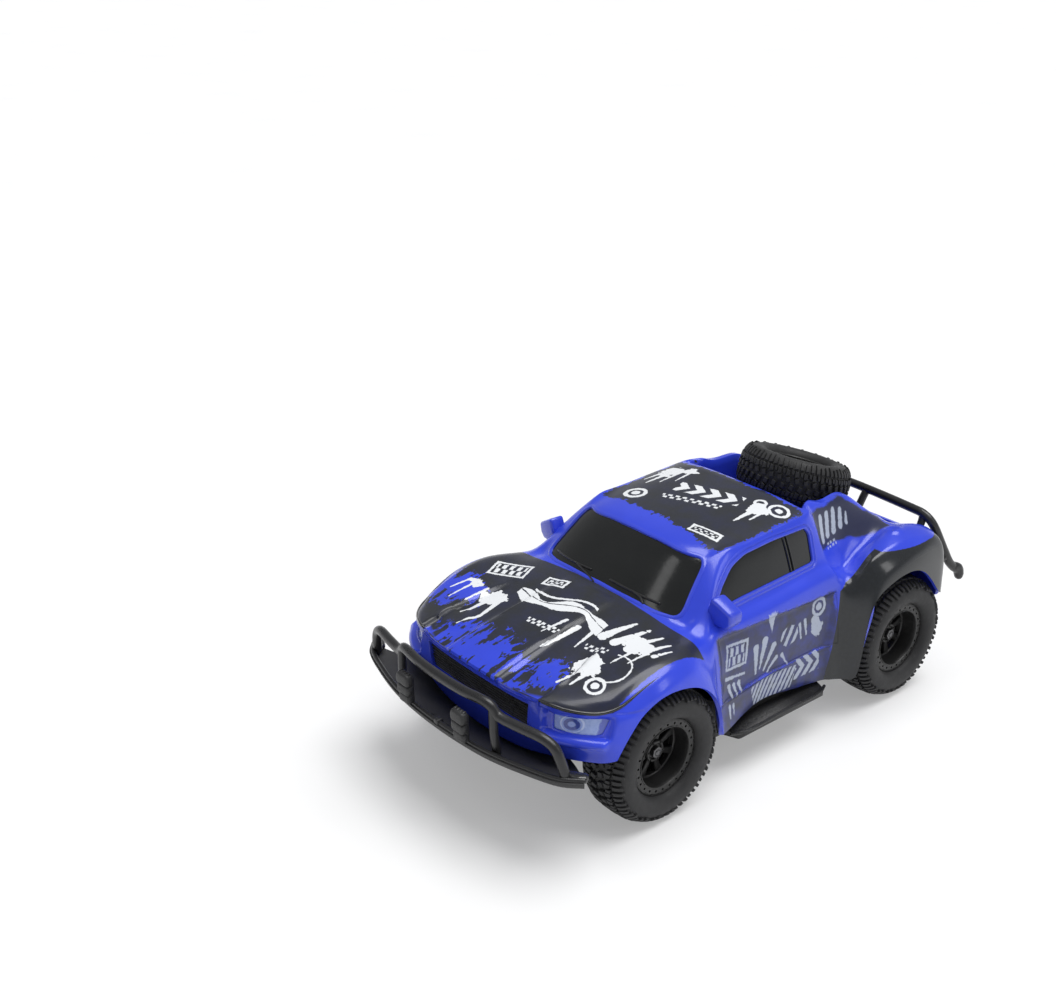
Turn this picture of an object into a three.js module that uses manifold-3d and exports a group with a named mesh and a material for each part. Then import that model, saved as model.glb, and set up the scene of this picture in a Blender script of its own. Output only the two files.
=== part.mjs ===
// Remote control short-course pickup, a toy of about 27 cm, as an assembly of separate pieces.
// Millimetres. +Z is up, the front looks along -Y, and the driver's left is +X.
// Inside this file y = 0 is midway between the axles; the whole group is shifted at the end so
// that the origin is at the middle of the footprint, on the floor.

import * as THREE from 'three';
import { mergeVertices } from 'three/addons/utils/BufferGeometryUtils.js';
import Module from 'manifold-3d';

const wasm = await Module();
wasm.setup();

// ---------- driving dimensions ----------

const TYRE_RADIUS = 30;
const WHEEL_BASE = 154;
const FRONT_Y = -WHEEL_BASE / 2;
const REAR_Y = WHEEL_BASE / 2;
const AXLE_Z = TYRE_RADIUS;
const ORIGIN_SHIFT_Y = 10.864;

const GAP = 0.3;
const SHELL_THICKNESS = 1.6;

const WHEEL_SEGMENTS = 24;
const RIM_FACE_X = 63.4;
const BARREL_RADIUS = 16.4;
const BARREL_INNER = 15;
const SPOKE_COUNT = 8;
const AXLE_RADIUS = 1.6;

const STEER_X = 48;
const STEER_ARM = 9;
const TIE_ROD_Z = 26.6;

const GEAR_MODULE = 0.8;
const AXLE_GEAR_TEETH = 24;
const REDUCTION_SMALL_TEETH = 10;
const REDUCTION_LARGE_TEETH = 22;
const PINION_TEETH = 8;
const REDUCTION_Y = REAR_Y - GEAR_MODULE * (AXLE_GEAR_TEETH + REDUCTION_SMALL_TEETH) / 2;
const MOTOR_Y = REDUCTION_Y - GEAR_MODULE * (REDUCTION_LARGE_TEETH + PINION_TEETH) / 2;

const TUB_FLOOR = 14;
const TUB_TOP = 34;
const POST_TOP = 39.7;
const BED_FLOOR = 68;

const SPARE_CENTRE = [0, 69, 94];
const SPARE_TILT = THREE.MathUtils.degToRad(18);
const SPARE_SCALE = 0.9;

// ---------- materials ----------

const finish = (color, roughness, metalness = 0) => ({ color, roughness, metalness });
const BLUE = finish(0x2229c8, 0.25);
const GLOSS_BLACK = finish(0x0b0b0c, 0.12);
const SATIN_BLACK = finish(0x141415, 0.45);
const RUBBER = finish(0x1b1b1c, 0.85);
const LAMP = finish(0x9fb4e6, 0.2);
const STEEL = finish(0xa8a9ab, 0.35, 1);
const BRASS = finish(0xb08a3c, 0.35, 1);
const WHITE_NYLON = finish(0xdedbd0, 0.5);
const CELL = finish(0x2f6b3a, 0.35);
const BOARD = finish(0x1d5a34, 0.5);

const car = new THREE.Group();

// ---------- solid modelling helpers ----------

// A three.js geometry as a closed manifold-3d solid.
function solid(geometry) {
  const bare = geometry.clone();
  bare.deleteAttribute('normal');
  bare.deleteAttribute('uv');
  const merged = mergeVertices(bare, 1e-4);
  const corners = merged.index.array;
  const kept = [];
  for (let i = 0; i < corners.length; i += 3) {
    const [a, b, c] = [corners[i], corners[i + 1], corners[i + 2]];
    if (a !== b && b !== c && c !== a) kept.push(a, b, c);
  }
  return new wasm.Manifold(new wasm.Mesh({
    numProp: 3,
    vertProperties: new Float32Array(merged.attributes.position.array),
    triVerts: new Uint32Array(kept),
  }));
}

// A manifold-3d solid as a three.js geometry.
function geometryOf(body) {
  const mesh = body.getMesh();
  const geometry = new THREE.BufferGeometry();
  geometry.setAttribute('position', new THREE.BufferAttribute(mesh.vertProperties, 3));
  geometry.setIndex(new THREE.BufferAttribute(mesh.triVerts, 1));
  geometry.computeVertexNormals();
  return geometry;
}

function addPart(name, body, look, parent = car) {
  const mesh = new THREE.Mesh(geometryOf(body), new THREE.MeshStandardMaterial(look));
  mesh.name = name;
  parent.add(mesh);
  return mesh;
}

const joined = (first, ...others) => others.reduce((sum, part) => sum.add(part), first);
const cut = (first, ...others) => others.reduce((rest, part) => rest.subtract(part), first);

// A box from its lowest to its highest corner.
function box(x0, y0, z0, x1, y1, z1) {
  const geometry = new THREE.BoxGeometry(x1 - x0, y1 - y0, z1 - z0);
  geometry.translate((x0 + x1) / 2, (y0 + y1) / 2, (z0 + z1) / 2);
  return solid(geometry);
}

// A cylinder along 'x', 'y' or 'z' between two places on that axis.
function rod(axis, from, to, a, b, radius, segments = 16) {
  const geometry = new THREE.CylinderGeometry(radius, radius, to - from, segments);
  const middle = (from + to) / 2;
  if (axis === 'x') geometry.rotateZ(-Math.PI / 2).translate(middle, a, b);
  if (axis === 'y') geometry.translate(a, middle, b);
  if (axis === 'z') geometry.rotateX(Math.PI / 2).translate(a, b, middle);
  return solid(geometry);
}

// An outline of [u, v] points pushed along 'x', 'y' or 'z' between two places.
// u, v are y, z for 'x'; x, z for 'y'; and x, y for 'z'.
function slab(axis, from, to, outline, holes = []) {
  const shape = new THREE.Shape(outline.map(([u, v]) => new THREE.Vector2(u, v)));
  for (const hole of holes) {
    shape.holes.push(new THREE.Path(hole.map(([u, v]) => new THREE.Vector2(u, v))));
  }
  const geometry = new THREE.ExtrudeGeometry(shape, { depth: to - from, bevelEnabled: false });
  geometry.translate(0, 0, from);
  if (axis === 'x') geometry.rotateZ(Math.PI / 2).rotateY(Math.PI / 2);
  if (axis === 'y') geometry.translate(0, 0, -from - to).rotateX(Math.PI / 2);
  return solid(geometry);
}

// A round tube through points.
function tube(points, radius, steps, sides = 6) {
  const curve = new THREE.CatmullRomCurve3(points.map((p) => new THREE.Vector3(...p)), false, 'centripetal');
  const section = new THREE.Shape();
  for (let i = 0; i < sides; i += 1) {
    const angle = i * 2 * Math.PI / sides;
    const place = [radius * Math.cos(angle), radius * Math.sin(angle)];
    if (i === 0) section.moveTo(...place);
    else section.lineTo(...place);
  }
  section.closePath();
  return solid(new THREE.ExtrudeGeometry(section, { steps, bevelEnabled: false, extrudePath: curve }));
}

// A lathe turned about the X axis from [radius, x] points; the profile closes on itself.
function turned(profile, segments = WHEEL_SEGMENTS) {
  const points = profile.map(([radius, x]) => new THREE.Vector2(radius, x));
  points.push(points[0].clone());
  const geometry = new THREE.LatheGeometry(points, segments);
  geometry.rotateZ(-Math.PI / 2);
  const body = solid(geometry);
  return body.volume() > 0 ? body : solid(flipped(geometry));
}

function flipped(geometry) {
  const copy = geometry.clone();
  const corners = copy.index.array;
  for (let i = 0; i < corners.length; i += 3) {
    [corners[i + 1], corners[i + 2]] = [corners[i + 2], corners[i + 1]];
  }
  return copy;
}

// A sheet given as rows of points, thickened downwards from its face along the vertex normals.
// Its diagonals are mirrored about the middle column.
function thickSheet(rows, thickness) {
  const across = rows[0].length;
  const face = rows.flat().map((p) => new THREE.Vector3(...p));
  const triangles = [];
  for (let r = 0; r + 1 < rows.length; r += 1) {
    for (let c = 0; c + 1 < across; c += 1) {
      const a = r * across + c;
      const [b, d, e] = [a + 1, a + across, a + across + 1];
      if (c < (across - 1) / 2) triangles.push([a, b, d], [b, e, d]);
      else triangles.push([a, b, e], [a, e, d]);
    }
  }
  const normals = face.map(() => new THREE.Vector3());
  for (const [a, b, c] of triangles) {
    const first = face[b].clone().sub(face[a]);
    const turn = first.cross(face[c].clone().sub(face[a]));
    for (const corner of [a, b, c]) normals[corner].add(turn);
  }
  const back = face.map((p, i) => p.clone().addScaledVector(normals[i].normalize(), -thickness));
  const last = rows.length - 1;
  const rim = [];
  for (let c = 0; c < across; c += 1) rim.push(c);
  for (let r = 1; r <= last; r += 1) rim.push(r * across + across - 1);
  for (let c = across - 2; c >= 0; c -= 1) rim.push(last * across + c);
  for (let r = last - 1; r > 0; r -= 1) rim.push(r * across);
  const index = [];
  for (const [a, b, c] of triangles) {
    index.push(a, b, c);
    index.push(a + face.length, c + face.length, b + face.length);
  }
  rim.forEach((a, i) => {
    const b = rim[(i + 1) % rim.length];
    index.push(a, a + face.length, b);
    index.push(b, a + face.length, b + face.length);
  });
  const geometry = new THREE.BufferGeometry();
  const places = [...face, ...back].flatMap((p) => p.toArray());
  geometry.setAttribute('position', new THREE.Float32BufferAttribute(places, 3));
  geometry.setIndex(index);
  return solid(geometry);
}

// Half rows given from the centre outwards, completed with their mirror image.
function mirrorRows(halfRows) {
  return halfRows.map((row) => [
    ...row.slice(1).reverse().map(([x, y, z]) => [-x, y, z]),
    ...row,
  ]);
}

const mirrored = (body) => body.mirror([1, 0, 0]);

// ---------- body shell ----------

// Half rows of the outer skin from the chin, over the bonnet, cab and bed, to the tail.
// Each runs from the centre line out to the hem, which is the edge of the wheel arches.
const BODY_ROWS = [
  // chin hem
  [[0, -122, 33], [14, -121.8, 33.4], [26, -121, 34.5], [33, -120.5, 36], [40, -119.5, 37.5],
    [47, -118, 39], [53, -116, 40], [58, -113.5, 40.8], [62, -111.5, 41.5], [65, -109.5, 42.5],
    [67, -107.5, 43.5]],
  // ledge under the lamps
  [[0, -124, 46], [14, -123.8, 46], [26, -123.5, 46.3], [33, -123, 46.8], [40, -123.5, 48],
    [48, -121, 48.5], [55, -117, 48.5], [60, -113, 48.5], [63, -110.5, 49], [65.5, -107.5, 49.5],
    [67.3, -103.5, 49.5]],
  // lower edge of the lamps
  [[0, -125, 52], [14, -124.8, 52], [26, -124.5, 52], [33.5, -124, 52], [41, -123.5, 51.8],
    [49, -121, 51.5], [56, -116.5, 51.5], [61, -111.5, 51.7], [64, -108, 52.5], [66, -104, 53.3],
    [67.5, -100.3, 53.5]],
  // upper edge of the lamps and the grille
  [[0, -126, 60.3], [14, -125.8, 60.3], [26, -125.2, 60.3], [34.5, -124, 60.3], [42, -122.5, 60.3],
    [50, -119, 60], [56.5, -114, 59.5], [61, -108.5, 59], [64, -104.5, 59], [66, -101, 58.5],
    [67.5, -97, 57]],
  // front edge of the bonnet
  [[0, -127.5, 64.5], [16, -127, 64.5], [28, -125.8, 64.3], [37, -123.3, 64], [46, -120, 63.4],
    [53.5, -114.5, 62.8], [59, -107.5, 62], [62, -103.5, 61.5], [64.7, -100, 61], [66.3, -97, 60.3],
    [67.5, -94, 59.2]],
  // bonnet, front third
  [[0, -110, 69.4], [16, -109.5, 69.2], [28, -108.5, 68.3], [38, -107, 67.2], [47, -104.5, 66.8],
    [55, -101, 66.8], [60, -98, 66.3], [63, -95.5, 65.5], [65.5, -93, 64.2], [67, -91, 62.8],
    [67.7, -89, 61.7]],
  // bonnet, over the front axle
  [[0, -88, 73.2], [16, -87.7, 73], [28, -87, 72.4], [38, -86, 71.7], [47, -85, 71.6],
    [55, -84, 72], [60, -83, 71.5], [63.5, -82.5, 70], [66, -82, 67.5], [67.5, -81.5, 65.2],
    [68, -80.5, 63.6]],
  // bonnet, rear third
  [[0, -68, 76], [16, -67.5, 75.8], [28, -66.5, 75.2], [38, -65, 74.5], [47, -64.5, 73.8],
    [54.5, -64.5, 73.3], [59.5, -65, 72], [63, -65.5, 70], [65.5, -66, 67], [67, -66.5, 64],
    [67.7, -67, 61]],
  // foot of the windscreen
  [[0, -57.5, 77.3], [16, -57, 77], [30, -54.8, 76.2], [41, -51.4, 74.8], [49, -49.5, 73.3],
    [54.5, -50, 71.3], [58, -52, 68.5], [61, -53.5, 65], [64, -54.5, 61.5], [66, -55, 57.5],
    [67.3, -55.2, 53.2]],
  // middle of the windscreen
  [[0, -46.5, 88], [15, -46, 87.6], [28, -44.3, 86.5], [38.3, -41.5, 84.6], [45.5, -37.5, 84.5],
    [53, -43.5, 73.2], [56.9, -45, 69.8], [59.6, -46.8, 63.8], [62, -47.8, 55.8], [64, -47.4, 47],
    [66, -46.4, 38]],
  // top of the windscreen, front of the door
  [[0, -35, 98], [14, -34.5, 97.7], [26, -33, 96.5], [35.4, -30.7, 94.3], [41, -24, 94.8],
    [51.3, -36, 75], [55.5, -37, 71], [57.8, -39, 62], [59.5, -41, 50], [61.5, -42, 38],
    [64, -42, 26]],
  // roof, front
  [[0, -18, 100.3], [15, -17.5, 100], [27, -16.5, 99.2], [36.5, -15, 97.3], [41.5, -13, 95.3],
    [50.5, -14, 75.2], [54.8, -14, 71], [56.8, -14, 63], [57, -14, 50], [56.7, -14, 39],
    [56.5, -14, 27]],
  // roof, middle
  [[0, 8, 101.8], [15, 8, 101.5], [26.5, 8, 100.7], [36.5, 8, 98.9], [41.3, 9, 96],
    [49.7, 8, 76.2], [54.3, 8, 72], [56.3, 8, 64], [57, 8, 51], [56.7, 8, 38],
    [56.5, 8, 24.5]],
  // rear edge of the roof, rear of the door
  [[0, 31, 102], [15, 31, 101.9], [26, 31, 101.5], [36, 31.5, 100], [40.5, 32, 97],
    [48.5, 33, 77.5], [53.5, 33, 73], [56, 34, 65], [57, 32, 52], [57, 30, 38],
    [57.5, 30, 22]],
  // foot of the cab's rear wall, front of the bed rail
  [[0, 35, BED_FLOOR], [17, 35, BED_FLOOR], [30.5, 35, BED_FLOOR], [32.5, 36, 98.8], [36.7, 37, 98.3],
    [48.2, 38.5, 76], [53.5, 38.5, 71], [56.5, 38.5, 64], [58.7, 38, 54], [61, 38.5, 40],
    [62.2, 40, 21.5]],
  // bed, front of the rear arch
  [[0, 44, BED_FLOOR], [17, 44, BED_FLOOR], [29.7, 44, BED_FLOOR], [31.7, 45, 98.1], [35.9, 46, 97.6],
    [46.5, 46.5, 72.5], [52.5, 46, 69], [58.3, 45, 67], [61.5, 44, 60], [65, 43.6, 46],
    [66.6, 43.7, 26]],
  // bed, shoulder of the rear arch
  [[0, 53, BED_FLOOR], [17, 53, BED_FLOOR], [29, 53, BED_FLOOR], [31, 54, 97.5], [35.2, 55, 97],
    [46, 54, 73], [52.5, 54, 73], [59.3, 53, 74.5], [63.3, 51.5, 68.5], [66, 49.5, 59.5],
    [67.1, 47.5, 54]],
  // bed, peak of the rail
  [[0, 63, BED_FLOOR], [17, 63, BED_FLOOR], [28.5, 63, BED_FLOOR], [30.5, 64.5, 97], [34.7, 65, 96.4],
    [46.2, 62, 76.5], [52.5, 60, 77], [59.5, 59, 77.5], [64, 58.5, 73], [66.8, 58.2, 68],
    [67.5, 58, 64]],
  // bed, rail falling
  [[0, 74, BED_FLOOR], [17, 74, BED_FLOOR], [31, 74, BED_FLOOR], [32.8, 75, 89.5], [36.6, 75, 89],
    [46.4, 73, 79.5], [53, 73, 81.5], [60.5, 72.5, 79.8], [65, 72, 75.5], [67.3, 71.7, 71],
    [68, 71.4, 67.5]],
  // bed, end of the rail
  [[0, 86, BED_FLOOR], [17, 86, BED_FLOOR], [34, 86, BED_FLOOR], [36, 86, 81.7], [39.5, 86, 81.3],
    [46.8, 85.5, 80.3], [53.5, 86, 81.7], [61, 86, 79], [65.2, 86.5, 74.5], [67.2, 86.5, 69],
    [67.8, 86, 63.3]],
  // foot of the tailgate inside the bed
  [[0, 99, BED_FLOOR], [17, 99, BED_FLOOR], [34.5, 98.5, BED_FLOOR], [37.2, 96, 75], [41, 96, 75],
    [47, 96, 78], [54, 97, 79.3], [61.3, 97, 76.3], [65, 97.5, 71], [66.8, 98, 62],
    [67.3, 98.3, 50]],
  // top of the tailgate, inner edge
  [[0, 101.5, 73], [17, 101.5, 73], [32, 101.2, 73.3], [40, 100.5, 74], [44, 100.5, 74.8],
    [48, 101.5, 76.3], [54.3, 102.5, 77], [61, 103, 74], [64.5, 103, 69], [65.8, 103, 60],
    [66.3, 102.8, 47]],
  // top of the tailgate, outer edge
  [[0, 104.5, 72.5], [17, 104.3, 72.5], [32, 103.8, 72.7], [40, 103.3, 73], [44, 103.3, 73.7],
    [48, 104, 74.5], [54, 105, 75], [60, 105.5, 72], [63, 105.5, 67], [64.3, 105, 58],
    [64.8, 104.6, 46]],
  // tail, middle
  [[0, 107, 58], [17, 106.8, 58], [32, 106.4, 58], [40, 106, 58.3], [44, 106, 58.7],
    [48, 106.3, 59], [53, 107, 59], [58, 107, 58], [61, 106.8, 56], [62.6, 106.4, 51],
    [63.3, 106, 44.5]],
  // tail hem
  [[0, 107.5, 42], [17, 107.3, 42], [32, 107, 42], [40, 106.7, 42], [44, 106.6, 42],
    [48, 106.6, 42], [52, 106.8, 42], [56, 106.8, 42], [59, 106.7, 42], [61, 106.5, 42.3],
    [62.3, 106.3, 43]],
];

// Places of the four body screws: x, y, and the underside of the skin above.
const SCREW_PLACES = [
  ['front_left', 15, -103, 69],
  ['front_right', -15, -103, 69],
  ['rear_left', 24, 94, BED_FLOOR - 1],
  ['rear_right', -24, 94, BED_FLOOR - 1],
];

// Openings in the shell, as outlines in front view [x, z] or side view [y, z].
const WINDSCREEN = [[-39, 77.2], [-18, 79], [18, 79], [39, 77.2], [34.2, 92.2], [16, 95], [-16, 95], [-34.2, 92.2]];
const SIDE_WINDOW = [[-38, 77], [28, 79.5], [29.5, 92], [27, 94], [-10, 93.2], [-17, 91]];
const GRILLE = [[-31.5, 47.5], [31.5, 47.5], [33, 59.6], [-33, 59.6]];
const HEADLAMP = [[44, 52.6], [59, 52.6], [60, 58.8], [43, 59.3]];

// An outline with every edge moved inwards by a margin, or outwards by a negative one.
function inset(outline, margin) {
  const corners = outline.map(([u, v]) => new THREE.Vector2(u, v));
  const turn = Math.sign(THREE.ShapeUtils.area(corners));
  const count = corners.length;
  const inward = corners.map((corner, i) => {
    const along = corners[(i + 1) % count].clone().sub(corner).normalize();
    return new THREE.Vector2(-along.y, along.x).multiplyScalar(turn);
  });
  return corners.map((corner, i) => {
    const [before, after] = [inward[(i + count - 1) % count], inward[i]];
    const reach = margin / (1 + before.dot(after));
    return corner.clone().add(before.clone().add(after).multiplyScalar(reach)).toArray();
  });
}

const DOOR_MIRROR = [[51, 72.8], [58.2, 73], [60.2, 79.6], [50, 85.6], [48.3, 78]];
const doorMirror = (room) => slab('y', -40 - room, -32.5 + room, inset(DOOR_MIRROR, -room));

function buildShell() {
  const skin = thickSheet(mirrorRows(BODY_ROWS), SHELL_THICKNESS);
  const openings = {
    windshield: (m) => slab('y', -62, -26, inset(WINDSCREEN, m)),
    side_window_left: (m) => slab('x', 36, 62, inset(SIDE_WINDOW, m)),
    side_window_right: (m) => mirrored(slab('x', 36, 62, inset(SIDE_WINDOW, m))),
    grille_insert: (m) => slab('y', -134, -112, inset(GRILLE, m)),
    headlight_lens_left: (m) => slab('y', -134, -98, inset(HEADLAMP, m)),
    headlight_lens_right: (m) => mirrored(slab('y', -134, -98, inset(HEADLAMP, m))),
  };
  const sink = {
    windshield: [0, 0.5, -0.3],
    side_window_left: [-0.6, 0, -0.1],
    side_window_right: [0.6, 0, -0.1],
    grille_insert: [0, 1.2, 0],
    headlight_lens_left: [-0.4, 1, 0],
    headlight_lens_right: [0.4, 1, 0],
  };
  const looks = {
    windshield: GLOSS_BLACK,
    side_window_left: GLOSS_BLACK,
    side_window_right: GLOSS_BLACK,
    grille_insert: SATIN_BLACK,
    headlight_lens_left: LAMP,
    headlight_lens_right: LAMP,
  };
  let shell = skin;
  for (const [name, opening] of Object.entries(openings)) {
    shell = shell.subtract(opening(0));
    const insert = skin.translate(sink[name]).intersect(opening(GAP));
    const clear = cut(insert, doorMirror(GAP), mirrored(doorMirror(GAP)));
    addPart(name, clear, looks[name]);
  }
  for (const [, x, y, top] of SCREW_PLACES) {
    shell = shell.add(rod('z', POST_TOP + GAP, top, x, y, 3.4, 10));
    shell = shell.subtract(rod('z', POST_TOP - 1, POST_TOP + 14, x, y, 1.5, 8));
  }
  shell = joined(shell, doorMirror(0), mirrored(doorMirror(0)));
  addPart('body_shell', shell, BLUE);
}

// ---------- bumpers, lamps and steps ----------

// Half of the bull bar's top tube, from the centre to its foot on the skid plate.
const BULL_BAR = [
  [0, -143.2, 64.5], [15, -142.6, 64.5], [28.5, -140.2, 64.3], [32.5, -138.8, 59.6], [45, -136.4, 59],
  [55.5, -133.6, 58.2], [60.5, -132.4, 54], [63.6, -130.6, 43.6],
];

// Front edge of the skid plate, from the centre outwards.
const PLATE_EDGE = [
  [0, -143.5], [16, -143], [31.6, -141.4], [50, -137], [63, -132.5], [70, -126.5],
];

function wholeCurve(half) {
  return [...half.slice(1).reverse().map(([x, y, z]) => [-x, y, z]), ...half];
}

function frontBumper() {
  const rise = (x) => 1.4 * (x / 70) ** 2;
  const rows = [
    PLATE_EDGE.map(([x]) => [0.62 * x, -112.5, 27 + 6.4 * rise(x)]),
    PLATE_EDGE.map(([x, y]) => [0.86 * x, y * 0.55 - 112 * 0.45, 35.5 + 2.6 * rise(x)]),
    PLATE_EDGE.map(([x, y]) => [x, y, 41.3 + rise(x)]),
    PLATE_EDGE.map(([x, y]) => [1.005 * x, y - 0.8, 43.6 + rise(x)]),
  ];
  const plate = thickSheet(mirrorRows(rows.reverse()), 2);
  const bar = tube(wholeCurve(BULL_BAR), 2.2, 38);
  const strut = tube([[30.5, -139.7, 63], [31, -139.6, 52], [31.5, -138.6, 40.6]], 1.9, 3);
  const tongue = box(-16, -116, 24.4, 16, -108.6, 27);
  return joined(plate, bar, strut, mirrored(strut), tongue);
}

function fogLamp() {
  const outline = [[14.6, 45.2], [22.4, 45.2], [22.8, 56.5], [20.6, 59], [16.2, 59], [14.2, 56.5]];
  return slab('y', -149.4, -144.9, outline);
}

// Half of the rear bar, from the centre to the rounded tip.
const REAR_BAR = [
  [0, 111, 80.6], [42, 108.8, 80.2], [49.5, 108.2, 79.4], [53.8, 109, 75.5], [57.4, 115, 62],
  [58.6, 119, 54.6], [60, 123.6, 50.6], [60.4, 126, 45.6],
];

function rearBumper() {
  const bar = tube(wholeCurve(REAR_BAR), 2.1, 38);
  const centrePost = tube([[13, 110.6, 80], [13, 108.4, 77], [13, 106, 73.6]], 1.7, 2);
  const sidePost = tube([[48, 108.4, 79.2], [48.2, 107.9, 77], [48.4, 107, 75.4]], 1.7, 2);
  const peg = rod('y', 107.5, 117.4, 57.8, 57.6, 1.8, 8);
  return joined(bar, centrePost, mirrored(centrePost), sidePost, mirrored(sidePost), peg, mirrored(peg));
}

function sideStep() {
  const section = [[50.6, 16.6], [60.6, 16.6], [62, 18], [62, 19.6], [57.4, 21.1], [50.6, 20.6]];
  const board = slab('y', -33, 32, section);
  const noseCut = slab('z', 10, 30, [[57, -36], [66, -36], [66, -24]]);
  const tailCut = slab('z', 10, 30, [[57, 34], [66, 34], [66, 23]]);
  return cut(board, noseCut, tailCut);
}

// ---------- chassis ----------

const FRONT_WALL = 22;
const MIDDLE_WALL = 50;
const REAR_WALL = 30;

function chassisTub() {
  const half = [
    [FRONT_WALL, -108], [FRONT_WALL, -48], [MIDDLE_WALL, -36], [MIDDLE_WALL, 34],
    [REAR_WALL, 42], [REAR_WALL, 101],
  ];
  const outline = [...half, ...half.slice().reverse().map(([x, y]) => [-x, y])];
  const wall = 2;
  const shrunk = (x, y) => [x - wall * Math.sign(x), y];
  const inside = outline.map(([x, y]) => shrunk(x, y));
  inside[0][1] += wall;
  inside[5][1] -= wall;
  inside[6][1] -= wall;
  inside[11][1] += wall;
  let tub = slab('z', TUB_FLOOR, TUB_TOP, outline);
  tub = tub.subtract(slab('z', TUB_FLOOR + wall, TUB_TOP + 1, inside));
  for (const side of [1, -1]) {
    const arm = [[side * 18, FRONT_Y - 6], [side * 52, FRONT_Y - 5], [side * 52, FRONT_Y + 5], [side * 18, FRONT_Y + 6]];
    tub = tub.add(slab('z', 18.6, 21.4, side > 0 ? arm : arm.reverse()));
    tub = tub.subtract(rod('z', 18, 22, side * STEER_X, FRONT_Y, 1.5, 10));
  }
  for (const [, x, y] of SCREW_PLACES) {
    tub = tub.add(rod('z', TUB_FLOOR, POST_TOP, x, y, 3.6, 10));
    tub = tub.subtract(rod('z', TUB_FLOOR - 1, POST_TOP + 1, x, y, 1.6, 8));
    tub = tub.subtract(rod('z', TUB_FLOOR - 1, TUB_FLOOR + 3, x, y, 2.8, 8));
  }
  const rodSlot = box(-24, FRONT_Y + STEER_ARM - 4.5, TIE_ROD_Z - 1.2, 24, FRONT_Y + STEER_ARM + 4.5, TUB_TOP + 1);
  const doorHole = box(-31.3, -30.3, TUB_FLOOR - 1, 31.3, 30.3, TUB_FLOOR + 3);
  const switchHole = box(37.5, -8.5, TUB_FLOOR - 1, 42.5, 4.5, TUB_FLOOR + 3);
  tub = cut(tub, rodSlot, doorHole, switchHole);
  for (const side of [1, -1]) {
    const slot = side > 0 ? [27, 31] : [-31, -27];
    tub = tub.subtract(box(slot[0], REAR_Y - 3.8, AXLE_Z - 3.8, slot[1], REAR_Y + 3.8, TUB_TOP + 1));
  }
  return tub;
}

function bodyScrew() {
  const profile = [[0, 14.4], [2.5, 14.4], [2.5, 16.4], [1.2, 16.9], [1.2, 49], [0, 50.5]];
  const geometry = new THREE.LatheGeometry(profile.map(([r, z]) => new THREE.Vector2(r, z)), 8);
  geometry.rotateX(Math.PI / 2);
  const body = solid(geometry);
  return body.volume() > 0 ? body : solid(flipped(geometry));
}

// ---------- wheels ----------

// Profiles for a wheel on the +X side: [radius, x].
const TYRE_PROFILE = [
  [16.7, 43.8], [20, 42.4], [25, 42.2], [30, 47], [30, 61.8], [25, 67], [20, 66.4], [17.6, 63.8],
  [17.6, 60.9], [16.7, 60.9],
];
const BARREL_PROFILE = [
  [BARREL_INNER, 43.8], [BARREL_RADIUS, 43.8], [BARREL_RADIUS, 61.2], [17.2, 61.2], [17.2, RIM_FACE_X],
  [13.6, RIM_FACE_X], [13.6, 61.4], [BARREL_INNER, 60.2],
];
const SPOKE_BACK = 53.6;
const SPOKE_FRONT = 55.6;
const HUB_FACE = 57.2;
const AXLE_END = 58.2;

function rim() {
  const disc = [];
  for (let i = 0; i < WHEEL_SEGMENTS; i += 1) {
    const angle = i * 2 * Math.PI / WHEEL_SEGMENTS;
    disc.push([15.6 * Math.cos(angle), 15.6 * Math.sin(angle)]);
  }
  const windows = [];
  for (let i = 0; i < SPOKE_COUNT; i += 1) {
    const middle = (i + 0.5) * 2 * Math.PI / SPOKE_COUNT;
    const corner = (radius, angle) => [radius * Math.cos(angle), radius * Math.sin(angle)];
    windows.push([
      corner(5.6, middle - 0.12), corner(13.2, middle - 0.27),
      corner(13.2, middle + 0.27), corner(5.6, middle + 0.12),
    ]);
  }
  let body = turned(BARREL_PROFILE);
  body = body.add(slab('x', SPOKE_BACK, SPOKE_FRONT, disc, windows));
  body = body.add(rod('x', 53.2, HUB_FACE, 0, 0, 4.4, 16));
  return body.subtract(rod('x', 50, 64, 0, 0, AXLE_RADIUS + GAP, 10));
}

const tyre = () => turned(TYRE_PROFILE);
const wheelNut = () => cut(
  rod('x', HUB_FACE + 0.4, HUB_FACE + 2.4, 0, 0, 2.9, 6),
  rod('x', HUB_FACE - 1, AXLE_END + 0.4, 0, 0, AXLE_RADIUS + GAP, 10),
);
const onAxle = (body, y) => body.translate([0, y, AXLE_Z]);

function addWheel(corner, y, side) {
  const place = (body) => onAxle(side > 0 ? body : mirrored(body), y);
  addPart(`tyre_${corner}`, place(tyre()), RUBBER);
  addPart(`rim_${corner}`, place(rim()), SATIN_BLACK);
  addPart(`wheel_nut_${corner}`, place(wheelNut()), STEEL);
}

// The spare lies in the bed, leaning on the tailgate.
function addSpare() {
  const [x, y, z] = SPARE_CENTRE;
  const lay = (body) => body
    .translate([-54.5, 0, 0])
    .scale(SPARE_SCALE)
    .rotate([0, -90, 0])
    .rotate([-THREE.MathUtils.radToDeg(SPARE_TILT), 0, 0])
    .translate([x, y, z]);
  const hub = [[4, 52.6], [16.3, 47], [16.3, 58], [14.6, 58], [14.6, 49.8], [4, 55.4]];
  addPart('spare_tyre', lay(tyre()), RUBBER);
  addPart('spare_rim', lay(turned(hub, 20)), SATIN_BLACK);
  const stalk = rod('x', 28, 52, 0, 0, 5, 12).add(rod('x', 51, 57, 0, 0, 3.2, 12));
  const above = box(-20, 40, BED_FLOOR + GAP, 20, 100, 130);
  addPart('spare_mount', lay(stalk).intersect(above), SATIN_BLACK);
}

// ---------- drive train ----------

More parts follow.
